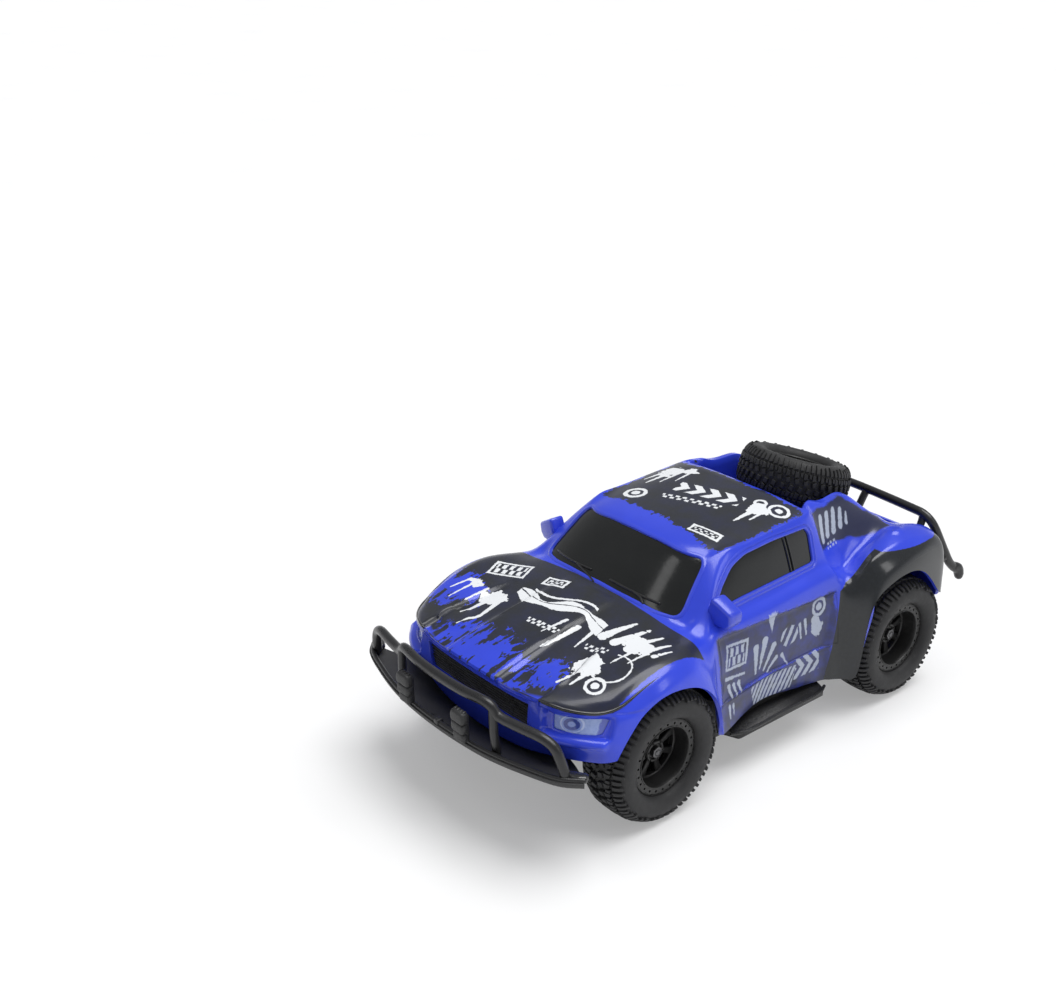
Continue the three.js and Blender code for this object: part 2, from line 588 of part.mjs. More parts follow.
// A spur gear outline; the phase is a fraction of one tooth.
function gearOutline(teeth, phase) {
  const pitch = GEAR_MODULE * teeth / 2;
  const tip = pitch + 0.62 * GEAR_MODULE;
  const root = pitch - 0.95 * GEAR_MODULE;
  const outline = [];
  for (let i = 0; i < teeth; i += 1) {
    const middle = (i + phase) * 2 * Math.PI / teeth;
    const step = 2 * Math.PI / teeth;
    for (const [radius, offset] of [[root, -0.26], [tip, -0.1], [tip, 0.1], [root, 0.26]]) {
      outline.push([radius * Math.cos(middle + offset * step), radius * Math.sin(middle + offset * step)]);
    }
  }
  return outline;
}

const gear = (teeth, phase, from, to) => slab('x', from, to, gearOutline(teeth, phase));

function addDriveTrain() {
  const axle = onAxle(rod('x', -AXLE_END, AXLE_END, 0, 0, AXLE_RADIUS, 10), REAR_Y);
  addPart('rear_axle', axle, STEEL);
  const axleGear = gear(AXLE_GEAR_TEETH, 0, -3, 3).subtract(rod('x', -4, 4, 0, 0, AXLE_RADIUS + GAP, 10));
  addPart('axle_gear', onAxle(axleGear, REAR_Y), WHITE_NYLON);
  const reduction = gear(REDUCTION_SMALL_TEETH, 0.5, -3, 3.6)
    .add(gear(REDUCTION_LARGE_TEETH, 0, 3.6, 6.8))
    .subtract(rod('x', -5, 9, 0, 0, 1.25, 10));
  addPart('reduction_gear', onAxle(reduction, REDUCTION_Y), WHITE_NYLON);
  addPart('reduction_pin', onAxle(rod('x', -7.4, 8, 0, 0, 1, 8), REDUCTION_Y), STEEL);
  const pinion = gear(PINION_TEETH, 0.5, 3.8, 6.6).add(rod('x', 2.4, 8.8, 0, 0, 1.4, 8));
  addPart('motor_pinion', onAxle(pinion, MOTOR_Y), BRASS);
  const motor = cut(rod('x', 9.6, 27.4, 0, 0, 9.4, 16), box(0, -12, 8, 40, 12, 12), box(0, -12, -12, 40, 12, -8));
  addPart('drive_motor', onAxle(motor, MOTOR_Y), STEEL);
  for (const [name, side] of [['axle_bush_left', 1], ['axle_bush_right', -1]]) {
    const bush = cut(rod('x', 27.2, 31, 0, 0, 3.4, 12), rod('x', 26, 32, 0, 0, AXLE_RADIUS + 0.2, 10));
    addPart(name, onAxle(side > 0 ? bush : mirrored(bush), REAR_Y), BRASS);
  }
  addGearbox();
}

const BOX_FRONT = 39.5;
const BOX_BACK = REAR_Y + 12.6;
const BOX_LEFT = 9;
const BOX_RIGHT = -8.2;

function addGearbox() {
  const wall = 1.4;
  const bore = (y, radius) => rod('x', -20, 20, y, AXLE_Z, radius, 12);
  const shell = (low, high, cavityLow, cavityHigh) => {
    const block = box(BOX_RIGHT, BOX_FRONT, low, BOX_LEFT, BOX_BACK, high);
    const room = box(BOX_RIGHT + wall, BOX_FRONT + wall, cavityLow, BOX_LEFT - wall, BOX_BACK - wall, cavityHigh);
    return cut(block, room, bore(REAR_Y, AXLE_RADIUS + 0.5), bore(REDUCTION_Y, 1.3), bore(MOTOR_Y, 2.2));
  };
  addPart('gearbox_lower', shell(16.4, AXLE_Z - 0.15, 17.8, 50), SATIN_BLACK);
  addPart('gearbox_cover', shell(AXLE_Z + 0.15, 43.4, 0, 42), SATIN_BLACK);
}

// ---------- steering ----------

function knuckle() {
  const block = box(44.6, FRONT_Y - 4, 21.8, 52, FRONT_Y + 4, 38.2);
  const stub = onAxle(rod('x', 51, AXLE_END, 0, 0, AXLE_RADIUS, 10), FRONT_Y);
  const shoulder = onAxle(rod('x', 51.5, 52.8, 0, 0, 3.4, 12), FRONT_Y);
  const arm = box(STEER_X - 2, FRONT_Y + 3, 22.6, STEER_X + 2, FRONT_Y + STEER_ARM + 1.8, TIE_ROD_Z - GAP);
  const peg = rod('z', TIE_ROD_Z - 1, TIE_ROD_Z + 1.6, STEER_X, FRONT_Y + STEER_ARM, 0.8, 8);
  return joined(block, stub, shoulder, arm, peg).subtract(rod('z', 20, 40, STEER_X, FRONT_Y, 1.4, 10));
}

function kingpin() {
  return rod('z', 18.6, 41.8, STEER_X, FRONT_Y, 1.15, 8).add(rod('z', 41.5, 42.4, STEER_X, FRONT_Y, 2.2, 8));
}

function slotHole(x, y) {
  return box(x - 1.1, y - 1.5, TIE_ROD_Z - 1, x + 1.1, y + 1.5, TIE_ROD_Z + 4);
}

function addSteering() {
  const rodY = FRONT_Y + STEER_ARM;
  for (const [name, side] of [['left', 1], ['right', -1]]) {
    const place = (body) => (side > 0 ? body : mirrored(body));
    addPart(`knuckle_${name}`, place(knuckle()), SATIN_BLACK);
    addPart(`kingpin_${name}`, place(kingpin()), STEEL);
  }
  const bar = box(-STEER_X - 2.4, rodY - 2.3, TIE_ROD_Z, STEER_X + 2.4, rodY + 2.3, TIE_ROD_Z + 2);
  addPart('tie_rod', cut(bar, slotHole(STEER_X, rodY), slotHole(-STEER_X, rodY), slotHole(0, rodY)), SATIN_BLACK);
  const armZ = TIE_ROD_Z + 2 + GAP;
  const servoY = rodY + STEER_ARM;
  const servo = box(-11, servoY - 4.5, 16.4, 11, servoY + 15, armZ - GAP);
  addPart('steering_servo', servo, SATIN_BLACK);
  const arm = joined(
    box(-2, rodY - 2, armZ, 2, servoY + 3, armZ + 2),
    rod('z', TIE_ROD_Z + 0.2, armZ + 1, 0, rodY, 0.8, 8),
  );
  addPart('steering_arm', arm, WHITE_NYLON);
  const coverTop = 41.2;
  const plate = [
    [-52, FRONT_Y - 5], [52, FRONT_Y - 5], [52, FRONT_Y + 5], [21.6, FRONT_Y + 5], [21.6, FRONT_Y + 26],
    [-21.6, FRONT_Y + 26], [-21.6, FRONT_Y + 5], [-52, FRONT_Y + 5],
  ];
  let cover = slab('z', 38.6, coverTop, plate);
  for (const side of [1, -1]) {
    cover = cover.add(box(side > 0 ? 17 : -21, FRONT_Y + 14, TUB_TOP + GAP, side > 0 ? 21 : -17, FRONT_Y + 25, 39));
    cover = cover.subtract(rod('z', 38, 42, side * STEER_X, FRONT_Y, 1.5, 10));
  }
  addPart('steering_cover', cover, SATIN_BLACK);
}

// ---------- battery, electronics and switch ----------

const CELL_LENGTH = 50;
const CELL_RADIUS = 7.1;
const CELL_Z = 24;

function addElectrics() {
  const batteryBox = cut(
    box(-31, -28.6, 16.4, 31, 28.6, 33.6),
    box(-29.8, -27.4, 10, 29.8, 27.4, 32.4),
  );
  addPart('battery_box', batteryBox, SATIN_BLACK);
  for (let i = 0; i < 4; i += 1) {
    const x = (i - 1.5) * 14.8;
    const cell = rod('y', -CELL_LENGTH / 2, CELL_LENGTH / 2 - 1.5, x, CELL_Z, CELL_RADIUS, 14);
    const button = rod('y', CELL_LENGTH / 2 - 2, CELL_LENGTH / 2, x, CELL_Z, 2.6, 8);
    addPart(`battery_cell_${i + 1}`, cell.add(button), CELL);
  }
  const plate = box(-31, -30, TUB_FLOOR, 31, 30, TUB_FLOOR + 1.6);
  const fingerNotch = box(-6, -31, TUB_FLOOR - 1, 6, -28.4, TUB_FLOOR + 2);
  addPart('battery_door', plate.subtract(fingerNotch), SATIN_BLACK);
  const board = box(-24, -26, 33.9, 24, 14, 35.4);
  const chip = box(-8, -16, 35.2, 6, -4, 37.4);
  const coil = rod('z', 35.2, 42, 16, 4, 3, 10);
  addPart('circuit_board', joined(board, chip, coil), BOARD);
  const knob = joined(box(38, -4.5, 13.2, 42, 0.5, 17.5), box(36.6, -6, 16.3, 43.4, 2, 17.8));
  addPart('power_switch', knob, SATIN_BLACK);
  addPart('switch_housing', box(35, -12, 18.1, 45, 8, 24), STEEL);
}

// ---------- assembly ----------

buildShell();
addPart('front_bumper', frontBumper(), SATIN_BLACK);
addPart('fog_lamp_left', fogLamp(), SATIN_BLACK);
addPart('fog_lamp_right', mirrored(fogLamp()), SATIN_BLACK);
addPart('rear_bumper', rearBumper(), SATIN_BLACK);
addPart('side_step_left', sideStep(), SATIN_BLACK);
addPart('side_step_right', mirrored(sideStep()), SATIN_BLACK);
addPart('chassis_tub', chassisTub(), SATIN_BLACK);
for (const [place, x, y] of SCREW_PLACES) {
  addPart(`body_screw_${place}`, bodyScrew().translate([x, y, 0]), STEEL);
}
addWheel('front_left', FRONT_Y, 1);
addWheel('front_right', FRONT_Y, -1);
addWheel('rear_left', REAR_Y, 1);
addWheel('rear_right', REAR_Y, -1);
addSpare();
addDriveTrain();
addSteering();
addElectrics();

car.position.y = ORIGIN_SHIFT_Y;

export default car;
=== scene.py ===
"""Looks of a remote control short-course pickup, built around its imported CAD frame.

Lengths below are in millimetres, with y = 0 midway between the axles, +Z up and the front
towards -Y. place() turns them into the frame's metres.
"""

import math

import bmesh
import bpy
import numpy as np
from mathutils import Matrix, Vector
from mathutils.bvhtree import BVHTree


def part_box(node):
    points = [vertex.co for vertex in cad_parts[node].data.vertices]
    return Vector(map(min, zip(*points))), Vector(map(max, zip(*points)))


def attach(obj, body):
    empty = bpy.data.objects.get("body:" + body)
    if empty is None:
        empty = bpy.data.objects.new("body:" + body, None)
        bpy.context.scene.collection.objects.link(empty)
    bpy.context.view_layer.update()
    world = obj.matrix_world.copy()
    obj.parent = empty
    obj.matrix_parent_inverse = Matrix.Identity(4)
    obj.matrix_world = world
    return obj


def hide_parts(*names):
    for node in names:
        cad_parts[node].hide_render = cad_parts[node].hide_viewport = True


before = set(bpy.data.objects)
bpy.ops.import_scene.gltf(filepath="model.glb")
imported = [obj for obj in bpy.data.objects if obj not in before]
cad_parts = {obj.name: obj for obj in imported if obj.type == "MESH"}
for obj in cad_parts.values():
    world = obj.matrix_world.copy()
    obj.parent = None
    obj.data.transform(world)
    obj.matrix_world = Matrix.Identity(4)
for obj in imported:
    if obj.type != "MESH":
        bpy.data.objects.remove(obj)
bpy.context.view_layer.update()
SCENE = bpy.context.scene


def middle_of(node):
    """The middle of a CAD node's box at rest."""
    low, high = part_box(node)
    return (low + high) / 2


FRONT_HUB = middle_of("tyre_front_left")
REAR_HUB = middle_of("tyre_rear_left")
MID_Y = (FRONT_HUB.y + REAR_HUB.y) / 2
AXLE_Z = FRONT_HUB.z * 1000


def place(points):
    """Millimetre points, an array of any shape ending in 3, as metres in the frame."""
    return np.asarray(points, float) * 0.001 + np.array([0, MID_Y, 0])


def unplace(points):
    """Metres in the frame as millimetre points again."""
    return (np.asarray(points, float) - [0, MID_Y, 0]) * 1000


def stand_in(piece, node, body="chassis"):
    """Puts a piece on a body in place of a CAD node, and hides the node."""
    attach(piece, body)
    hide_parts(node)


def stand_in_pair(left, node):
    """A left piece and its mirror image in place of a pair of CAD nodes on the chassis."""
    right = copy_of(left, left.name.replace("left", "right"), mirror=True)
    stand_in(left, node + "_left")
    stand_in(right, node + "_right")


# ---------- node trees written as arithmetic ----------


class Num:
    """A number in a node tree, with arithmetic that makes Math nodes."""

    def __init__(self, tree, socket):
        self.tree = tree
        self.socket = socket

    def math(self, kind, *others):
        node = self.tree.nodes.new("ShaderNodeMath")
        node.operation = kind
        for slot, value in enumerate((self, *others)):
            if isinstance(value, Num):
                self.tree.links.new(value.socket, node.inputs[slot])
            else:
                node.inputs[slot].default_value = value
        return Num(self.tree, node.outputs[0])

    def __add__(self, other):
        return self.math("ADD", other)

    def __sub__(self, other):
        return self.math("SUBTRACT", other)

    def __mul__(self, other):
        return self.math("MULTIPLY", other)

    def __truediv__(self, other):
        return self.math("DIVIDE", other)

    __radd__ = __add__
    __rmul__ = __mul__

    def __rsub__(self, other):
        return self * -1 + other

    def __neg__(self):
        return self * -1

    def abs(self):
        return self.math("ABSOLUTE")

    def lowest(self, *others):
        result = self
        for other in others:
            result = result.math("MINIMUM", other)
        return result

    def highest(self, *others):
        result = self
        for other in others:
            result = result.math("MAXIMUM", other)
        return result

    def ramp(self, low, high, start=0.0, end=1.0):
        """start below low, end above high, and smooth between them."""
        node = self.tree.nodes.new("ShaderNodeMapRange")
        node.interpolation_type = "SMOOTHSTEP"
        self.tree.links.new(self.socket, node.inputs["Value"])
        node.inputs["From Min"].default_value = low
        node.inputs["From Max"].default_value = high
        node.inputs["To Min"].default_value = start
        node.inputs["To Max"].default_value = end
        return Num(self.tree, node.outputs["Result"])


class Look:
    """A procedural material: one Principled shader with fields in object millimetres."""

    def __init__(self, name, roughness=0.5, metallic=0.0, coat=0.0, specular=0.5):
        self.material = bpy.data.materials.new(name)
        self.material.use_nodes = True
        self.tree = self.material.node_tree
        self.shader = self.tree.nodes["Principled BSDF"]
        self.shader.inputs["Metallic"].default_value = metallic
        self.shader.inputs["Roughness"].default_value = roughness
        self.shader.inputs["Specular IOR Level"].default_value = specular
        self.shader.inputs["Coat Weight"].default_value = coat
        self.shader.inputs["Coat Roughness"].default_value = 0.08
        self.where = self.tree.nodes.new("ShaderNodeTexCoord").outputs["Object"]

    def xyz(self):
        """Millimetre coordinates x, y from mid-wheelbase, and z."""
        split = self.tree.nodes.new("ShaderNodeSeparateXYZ")
        self.tree.links.new(self.where, split.inputs[0])
        x, y, z = (Num(self.tree, out) * 1000 for out in split.outputs)
        return x, y - MID_Y * 1000, z

    def noise(self, size, detail=2.0, stretch=(1, 1, 1)):
        """Noise about 0, from -1 to 1, with features of the given size in millimetres."""
        mapping = self.tree.nodes.new("ShaderNodeMapping")
        mapping.inputs["Scale"].default_value = [1000 / size / s for s in stretch]
        self.tree.links.new(self.where, mapping.inputs["Vector"])
        node = self.tree.nodes.new("ShaderNodeTexNoise")
        node.inputs["Scale"].default_value = 1.0
        node.inputs["Detail"].default_value = detail
        self.tree.links.new(mapping.outputs["Vector"], node.inputs["Vector"])
        return (Num(self.tree, node.outputs["Fac"]) - 0.5) * 3

    def blend(self, amount, first, second):
        """first where amount is 0 and second where it is 1. Each is a colour or a socket."""
        node = self.tree.nodes.new("ShaderNodeMix")
        node.data_type = "RGBA"
        self.tree.links.new(amount.socket, node.inputs["Factor"])
        for slot, value in (("A", first), ("B", second)):
            socket = [s for s in node.inputs if s.name == slot and s.type == "RGBA"][0]
            if isinstance(value, tuple):
                socket.default_value = (*value, 1)
            else:
                self.tree.links.new(value, socket)
        return [s for s in node.outputs if s.type == "RGBA"][0]

    def colour(self, socket):
        self.tree.links.new(socket, self.shader.inputs["Base Color"])

    def rough(self, value):
        self.tree.links.new(value.socket, self.shader.inputs["Roughness"])

    def bump(self, height, depth=0.1, strength=1.0):
        """height from 0 to 1 stands for depth millimetres."""
        node = self.tree.nodes.new("ShaderNodeBump")
        node.inputs["Distance"].default_value = depth * 0.001
        node.inputs["Strength"].default_value = strength
        self.tree.links.new(height.socket, node.inputs["Height"])
        self.tree.links.new(node.outputs["Normal"], self.shader.inputs["Normal"])


# ---------- mesh helpers ----------

BEVEL_FROM_ANGLE = 25


def new_object(name, points, faces, material, smooth=35):
    """An object from millimetre points, with edges sharper than the angle kept sharp."""
    mesh = bpy.data.meshes.new(name)
    mesh.from_pydata([tuple(p) for p in place(points)], [], faces)
    mesh.validate()
    mesh.update()
    thing = bpy.data.objects.new(name, mesh)
    SCENE.collection.objects.link(thing)
    thing.data.materials.append(material)
    shade(thing, smooth)
    return thing


def shade(thing, angle):
    """Smooth shading, broken at edges sharper than an angle in degrees."""
    mesh = thing.data
    mesh.polygons.foreach_set("use_smooth", [True] * len(mesh.polygons))
    mesh.set_sharp_from_angle(angle=math.radians(angle))


def apply_modifiers(thing):
    """Turns an object's modifiers into its mesh."""
    graph = bpy.context.evaluated_depsgraph_get()
    mesh = bpy.data.meshes.new_from_object(thing.evaluated_get(graph))
    thing.modifiers.clear()
    thing.data = mesh


def thicken(thing, wall, offset=-1, inner_slot=0):
    """Gives a sheet a wall in millimetres, with its inner side in a material slot of its own."""
    mod = thing.modifiers.new("thick", "SOLIDIFY")
    mod.thickness = wall * 0.001
    mod.offset = offset
    mod.material_offset = inner_slot
    mod.material_offset_rim = inner_slot
    apply_modifiers(thing)


def merged(name, things):
    """One object from several, with their materials kept."""
    bpy.ops.object.select_all(action="DESELECT")
    for thing in things:
        thing.select_set(True)
    bpy.context.view_layer.objects.active = things[0]
    bpy.ops.object.join()
    whole = bpy.context.view_layer.objects.active
    whole.name = name
    whole.data.name = name
    return whole


def grid_faces(rows, columns, loop_rows=False, loop_columns=False):
    """Four-sided faces over points in rows, closed round in either direction or neither."""
    faces = []
    for r in range(rows if loop_rows else rows - 1):
        for c in range(columns if loop_columns else columns - 1):
            here, beyond = r * columns, (r + 1) % rows * columns
            after = (c + 1) % columns
            faces.append((here + c, here + after, beyond + after, beyond + c))
    return faces


def smooth_path(points, steps, closed=False):
    """A centripetal Catmull-Rom curve through points, with the given steps in each span."""
    points = np.asarray(points, float)
    if closed:
        padded = np.vstack([points[-1:], points, points[:2]])
    else:
        first = 2 * points[:1] - points[1:2]
        last = 2 * points[-1:] - points[-2:-1]
        padded = np.vstack([first, points, last])
    result = []
    for i in range(1, len(padded) - 2):
        p = padded[i - 1:i + 3]
        gaps = np.sqrt(np.linalg.norm(np.diff(p, axis=0), axis=1)).clip(1e-6)
        t = np.concatenate([[0], np.cumsum(gaps)])
        for u in np.linspace(t[1], t[2], steps, endpoint=False):
            a = [((t[k + 1] - u) * p[k] + (u - t[k]) * p[k + 1]) / gaps[k] for k in range(3)]
            b = [((t[k + 2] - u) * a[k] + (u - t[k]) * a[k + 1]) / (t[k + 2] - t[k]) for k in range(2)]
            result.append(((t[2] - u) * b[0] + (u - t[1]) * b[1]) / gaps[1])
    if not closed:
        result.append(points[-1])
    return np.array(result)


def both_halves(half):
    """A path given from the centre outwards, completed on the -X side."""
    half = np.asarray(half, float)
    return np.vstack([(half[1:] * [-1, 1, 1])[::-1], half])


def sweep(name, path, radii, material, sides=16, round_ends=True):
    """A round tube along path. radii is one number or one for each point."""
    path = np.asarray(path, float)
    radii = np.broadcast_to(np.asarray(radii, float), len(path)).copy()
    along = np.gradient(path, axis=0)
    along /= np.linalg.norm(along, axis=1)[:, None]
    if round_ends:
        steps = np.array([1.0, 0.92, 0.7, 0.4, 0.12])
        reach = np.sqrt(1 - steps**2)
        tail = path[-1] + along[-1] * (reach[1:, None] * radii[-1])
        head = (path[0] - along[0] * (reach[1:, None] * radii[0]))[::-1]
        path = np.vstack([head, path, tail])
        radii = np.concatenate([radii[0] * steps[:0:-1], radii, radii[-1] * steps[1:]])
        along = np.vstack([np.repeat(along[:1], 4, 0), along, np.repeat(along[-1:], 4, 0)])
    side = np.cross(along[0], [0.3, 0.1, 1.0])
    points = []
    angles = np.arange(sides) * 2 * math.pi / sides
    for p, t, r in zip(path, along, radii):
        side = side - t * np.dot(side, t)
        side /= np.linalg.norm(side)
        up = np.cross(t, side)
        points.append(p + r * (np.cos(angles)[:, None] * side + np.sin(angles)[:, None] * up))
    faces = grid_faces(len(path), sides, loop_columns=True)
    count = len(path) * sides
    faces.append(tuple(range(sides))[::-1])
    faces.append(tuple(range(count - sides, count)))
    return new_object(name, np.vstack(points), faces, material)


def block(name, corners, faces, material, bevel=0.6, segments=3, smooth=35):
    """A solid from corners and faces with all its edges rounded."""
    thing = new_object(name, corners, faces, material)
    mod = thing.modifiers.new("round", "BEVEL")
    mod.width = bevel * 0.001
    mod.segments = segments
    mod.limit_method = "ANGLE"
    mod.angle_limit = math.radians(BEVEL_FROM_ANGLE)
    mod.harden_normals = False
    apply_modifiers(thing)
    shade(thing, smooth)
    return thing


def prism(name, axis, start, end, outline, material, bevel=0.6, segments=3):
    """An outline pushed along x, y or z. The outline's pairs are the other two, in order."""
    index = "xyz".index(axis)
    rows = []
    for level in (start, end):
        for pair in outline:
            point = list(pair)
            point.insert(index, level)
            rows.append(point)
    count = len(outline)
    faces = [tuple(range(count)), tuple(range(2 * count - 1, count - 1, -1))]
    for i in range(count):
        j = (i + 1) % count
        faces.append((i, i + count, j + count, j))
    thing = block(name, rows, faces, material, bevel, segments)
    return tidy_normals(thing)


def tidy_normals(thing):
    """Turns all faces of a closed mesh outwards."""
    mesh = bmesh.new()
    mesh.from_mesh(thing.data)
    bmesh.ops.recalc_face_normals(mesh, faces=mesh.faces)
    mesh.to_mesh(thing.data)
    mesh.free()
    return thing


def copy_of(thing, name, move=None, mirror=False):
    """A copy, mirrored to the -X side with its faces turned the right way out, and then moved."""
    copy = thing.copy()
    copy.data = thing.data.copy()
    copy.name = name
    copy.data.name = name
    if mirror:
        copy.data.transform(Matrix.Scale(-1, 4, (1, 0, 0)))
        copy.data.flip_normals()
    if move:
        copy.data.transform(move)
    SCENE.collection.objects.link(copy)
    return copy


def with_mirror_image(thing):
    """A piece and its mirror image, as a list."""
    return [thing, copy_of(thing, thing.name + "_b", mirror=True)]


def lathe(name, profile, material, segments=96, smooth=35):
    """A closed [radius, x] profile turned about the X axis."""
    profile = np.asarray(profile, float)
    angles = np.arange(segments) * 2 * math.pi / segments
    radius, x = profile.T
    points = [np.stack([x, radius * math.cos(a), radius * math.sin(a)], 1) for a in angles]
    faces = grid_faces(segments, len(profile), loop_rows=True, loop_columns=True)
    return tidy_normals(new_object(name, np.vstack(points), faces, material, smooth))


def about_axle(thing):
    """Takes off the offset that place() adds, for a piece made about its own axle."""
    thing.data.transform(Matrix.Translation((0, -MID_Y, 0)))


# ---------- materials ----------

BLUE = (0.030, 0.060, 0.64)
PRINT_BLACK = (0.014, 0.016, 0.018)
PRINT_GREY = (0.018, 0.020, 0.023)
WHITE = (0.80, 0.82, 0.84)
FADED_WHITE = (0.50, 0.56, 0.68)


def plastic(name, colour, lighter, roughness, grain=0.6, depth=0.03, spread=0.08, coat=0.0):
    """Moulded plastic: faint cloudiness, a fine moulded grain and uneven gloss."""
    look = Look(name, coat=coat)
    cloud = look.noise(14, 3)
    speck = look.noise(grain, 2)
    look.colour(look.blend((cloud * 0.35 + speck * 0.15).ramp(-0.6, 0.9), colour, lighter))
    look.rough((cloud * 0.5 + speck * 0.5).ramp(-1, 1, roughness - spread, roughness + spread))
    look.bump(speck.ramp(-1, 1), depth)
    return look.material


def rubber():
    """Tyre rubber: dusty grey in patches, with a fine pebbled surface."""
    look = Look("tyre_rubber", specular=0.35)
    cloud = look.noise(9, 3)
    pebble = look.noise(0.5, 2)
    dust = look.noise(2.2, 4)
    base = look.blend(cloud.ramp(-0.7, 0.9), (0.017, 0.017, 0.018), (0.034, 0.034, 0.035))
    look.colour(look.blend(dust.ramp(0.1, 1.3, 0, 0.45), base, (0.060, 0.060, 0.062)))
    look.rough((cloud + dust * 0.6).ramp(-1, 1.3, 0.52, 0.78))
    look.bump((pebble * 0.6 + dust * 0.4).ramp(-1, 1), 0.06)
    return look.material


def metal(name, colour, brushed, roughness=0.32):
    """Turned or rolled metal with fine streaks along one axis and dull patches."""
    look = Look(name, metallic=1.0)
    streak = look.noise(0.8, 3, brushed)
    patch = look.noise(6, 2)
    dark = tuple(c * 0.72 for c in colour)
    look.colour(look.blend((streak * 0.5 + patch * 0.5).ramp(-0.8, 0.8), dark, colour))
    look.rough((streak + patch).ramp(-1.5, 1.5, roughness - 0.1, roughness + 0.14))
    look.bump(streak.ramp(-1, 1), 0.02)
    return look.material


def window_gloss():
    """Black glossy insert: nearly a mirror, with faint dust and hairline marks."""
    look = Look("window_gloss", coat=0.15, specular=0.45)
    dust = look.noise(0.7, 2)
    cloud = look.noise(25, 2)
    hair = look.noise(1.2, 1, (9, 1, 1))
    look.colour(look.blend(cloud.ramp(-1, 1), (0.005, 0.006, 0.006), (0.010, 0.011, 0.011)))
    look.rough((dust * 0.5 + hair * 0.4 + cloud * 0.4).ramp(-0.8, 1.4, 0.07, 0.22))
    look.bump((cloud + dust * 0.04).ramp(-1, 1), 0.08)
    return look.material


def lamp_print():
    """A headlamp printed on the shell: pale blue with a dark ringed eye at the inner end."""
    look = Look("lamp_print", coat=0.6)
    x, y, z = look.xyz()
    wobble = look.noise(1.5, 3)
    across, up = x.abs() - 50.2, z - 55.6
    radius = (across * across * 0.72 + up * up).math("SQRT") + wobble * 0.14
    haze = (wobble * 0.5 + across * 0.08).ramp(-0.8, 0.9)
    field = look.blend(haze, (0.11, 0.19, 0.56), (0.36, 0.48, 0.80))
    rings = (radius * 2.6).math("SINE").ramp(-0.5, 0.6)
    eye = look.blend(rings, (0.03, 0.06, 0.32), (0.24, 0.34, 0.72))
    inside = radius.ramp(3.0, 3.5, 1, 0)
    colour = look.blend(inside, field, eye)
    border = (radius - 3.3).abs().ramp(0.15, 0.35, 1, 0)
    colour = look.blend(border, colour, (0.50, 0.60, 0.86))
    edge = (across * 0.9 - 7.2 + wobble * 0.3).ramp(-0.3, 0.3)
    look.colour(look.blend(edge, colour, (0.10, 0.14, 0.55)))
    look.rough(wobble.ramp(-1, 1, 0.16, 0.3))
    look.bump(rings.lowest(inside), 0.12)
    return look.material


def disc(x, y, cx, cy, squash=1.0):
    """Distance from a point, or from an oval about it."""
    px, py = x - cx, (y - cy) * squash
    return (px * px + py * py).math("SQRT")


def ring(x, y, cx, cy, radius):
    """Distance from a circle's line."""
    return (disc(x, y, cx, cy) - radius).abs()


def turned_axes(x, y, cx, cy, degrees):
    """Coordinates about a centre, along and across a direction."""
    c, s = math.cos(math.radians(degrees)), math.sin(math.radians(degrees))
    px, py = x - cx, y - cy
    return px * c + py * s, py * c - px * s


def stamp(u, v, width, height, columns):
    """A framed stamp with two rows of blocks set off from each other. Negative on the ink."""
    outside = (u.abs() - width / 2).highest(v.abs() - height / 2)
    line = (outside + 0.7).abs() - 0.6
    return line.lowest(checks(u, v + 0.1, width - 4, height - 3.4, columns))


def checks(u, v, width, height, columns):
    """Two rows of blocks in a chequer pattern about a centre. Negative on the ink."""
    pitch = width / columns
    upper = v.math("GREATER_THAN", 0.0)
    fold = (((u / pitch + upper * 0.5).math("FRACT")) - 0.5).abs() * pitch
    row = (v.abs() - height / 4).abs() - height / 4 + 0.25
    return (fold - pitch * 0.27).highest(row, u.abs() - width / 2)


def chevrons(u, v, length, height, pitch, share=0.25):
    """Arrowhead bands pointing along u. Negative on the ink."""
    fold = (((u + v.abs() * 0.9) / pitch).math("FRACT") - 0.5).abs() * pitch
    return (fold - pitch * share).highest(v.abs() - height / 2, u.abs() - length / 2)


def taper(x, y, ax, ay, bx, by, start, end):
    """A brush stroke or drip between two points, with a half width at each end. Negative on the ink."""
    dx, dy = bx - ax, by - ay
    along = (((x - ax) * dx + (y - ay) * dy) / (dx * dx + dy * dy)).highest(0).lowest(1)
    px = x - ax - along * dx
    py = y - ay - along * dy
    return (px * px + py * py).math("SQRT") - along * (end - start) - start


def tapers(x, y, strokes):
    """Several tapers in one."""
    parts = [taper(x, y, *stroke) for stroke in strokes]
    return parts[0].lowest(*parts[1:])


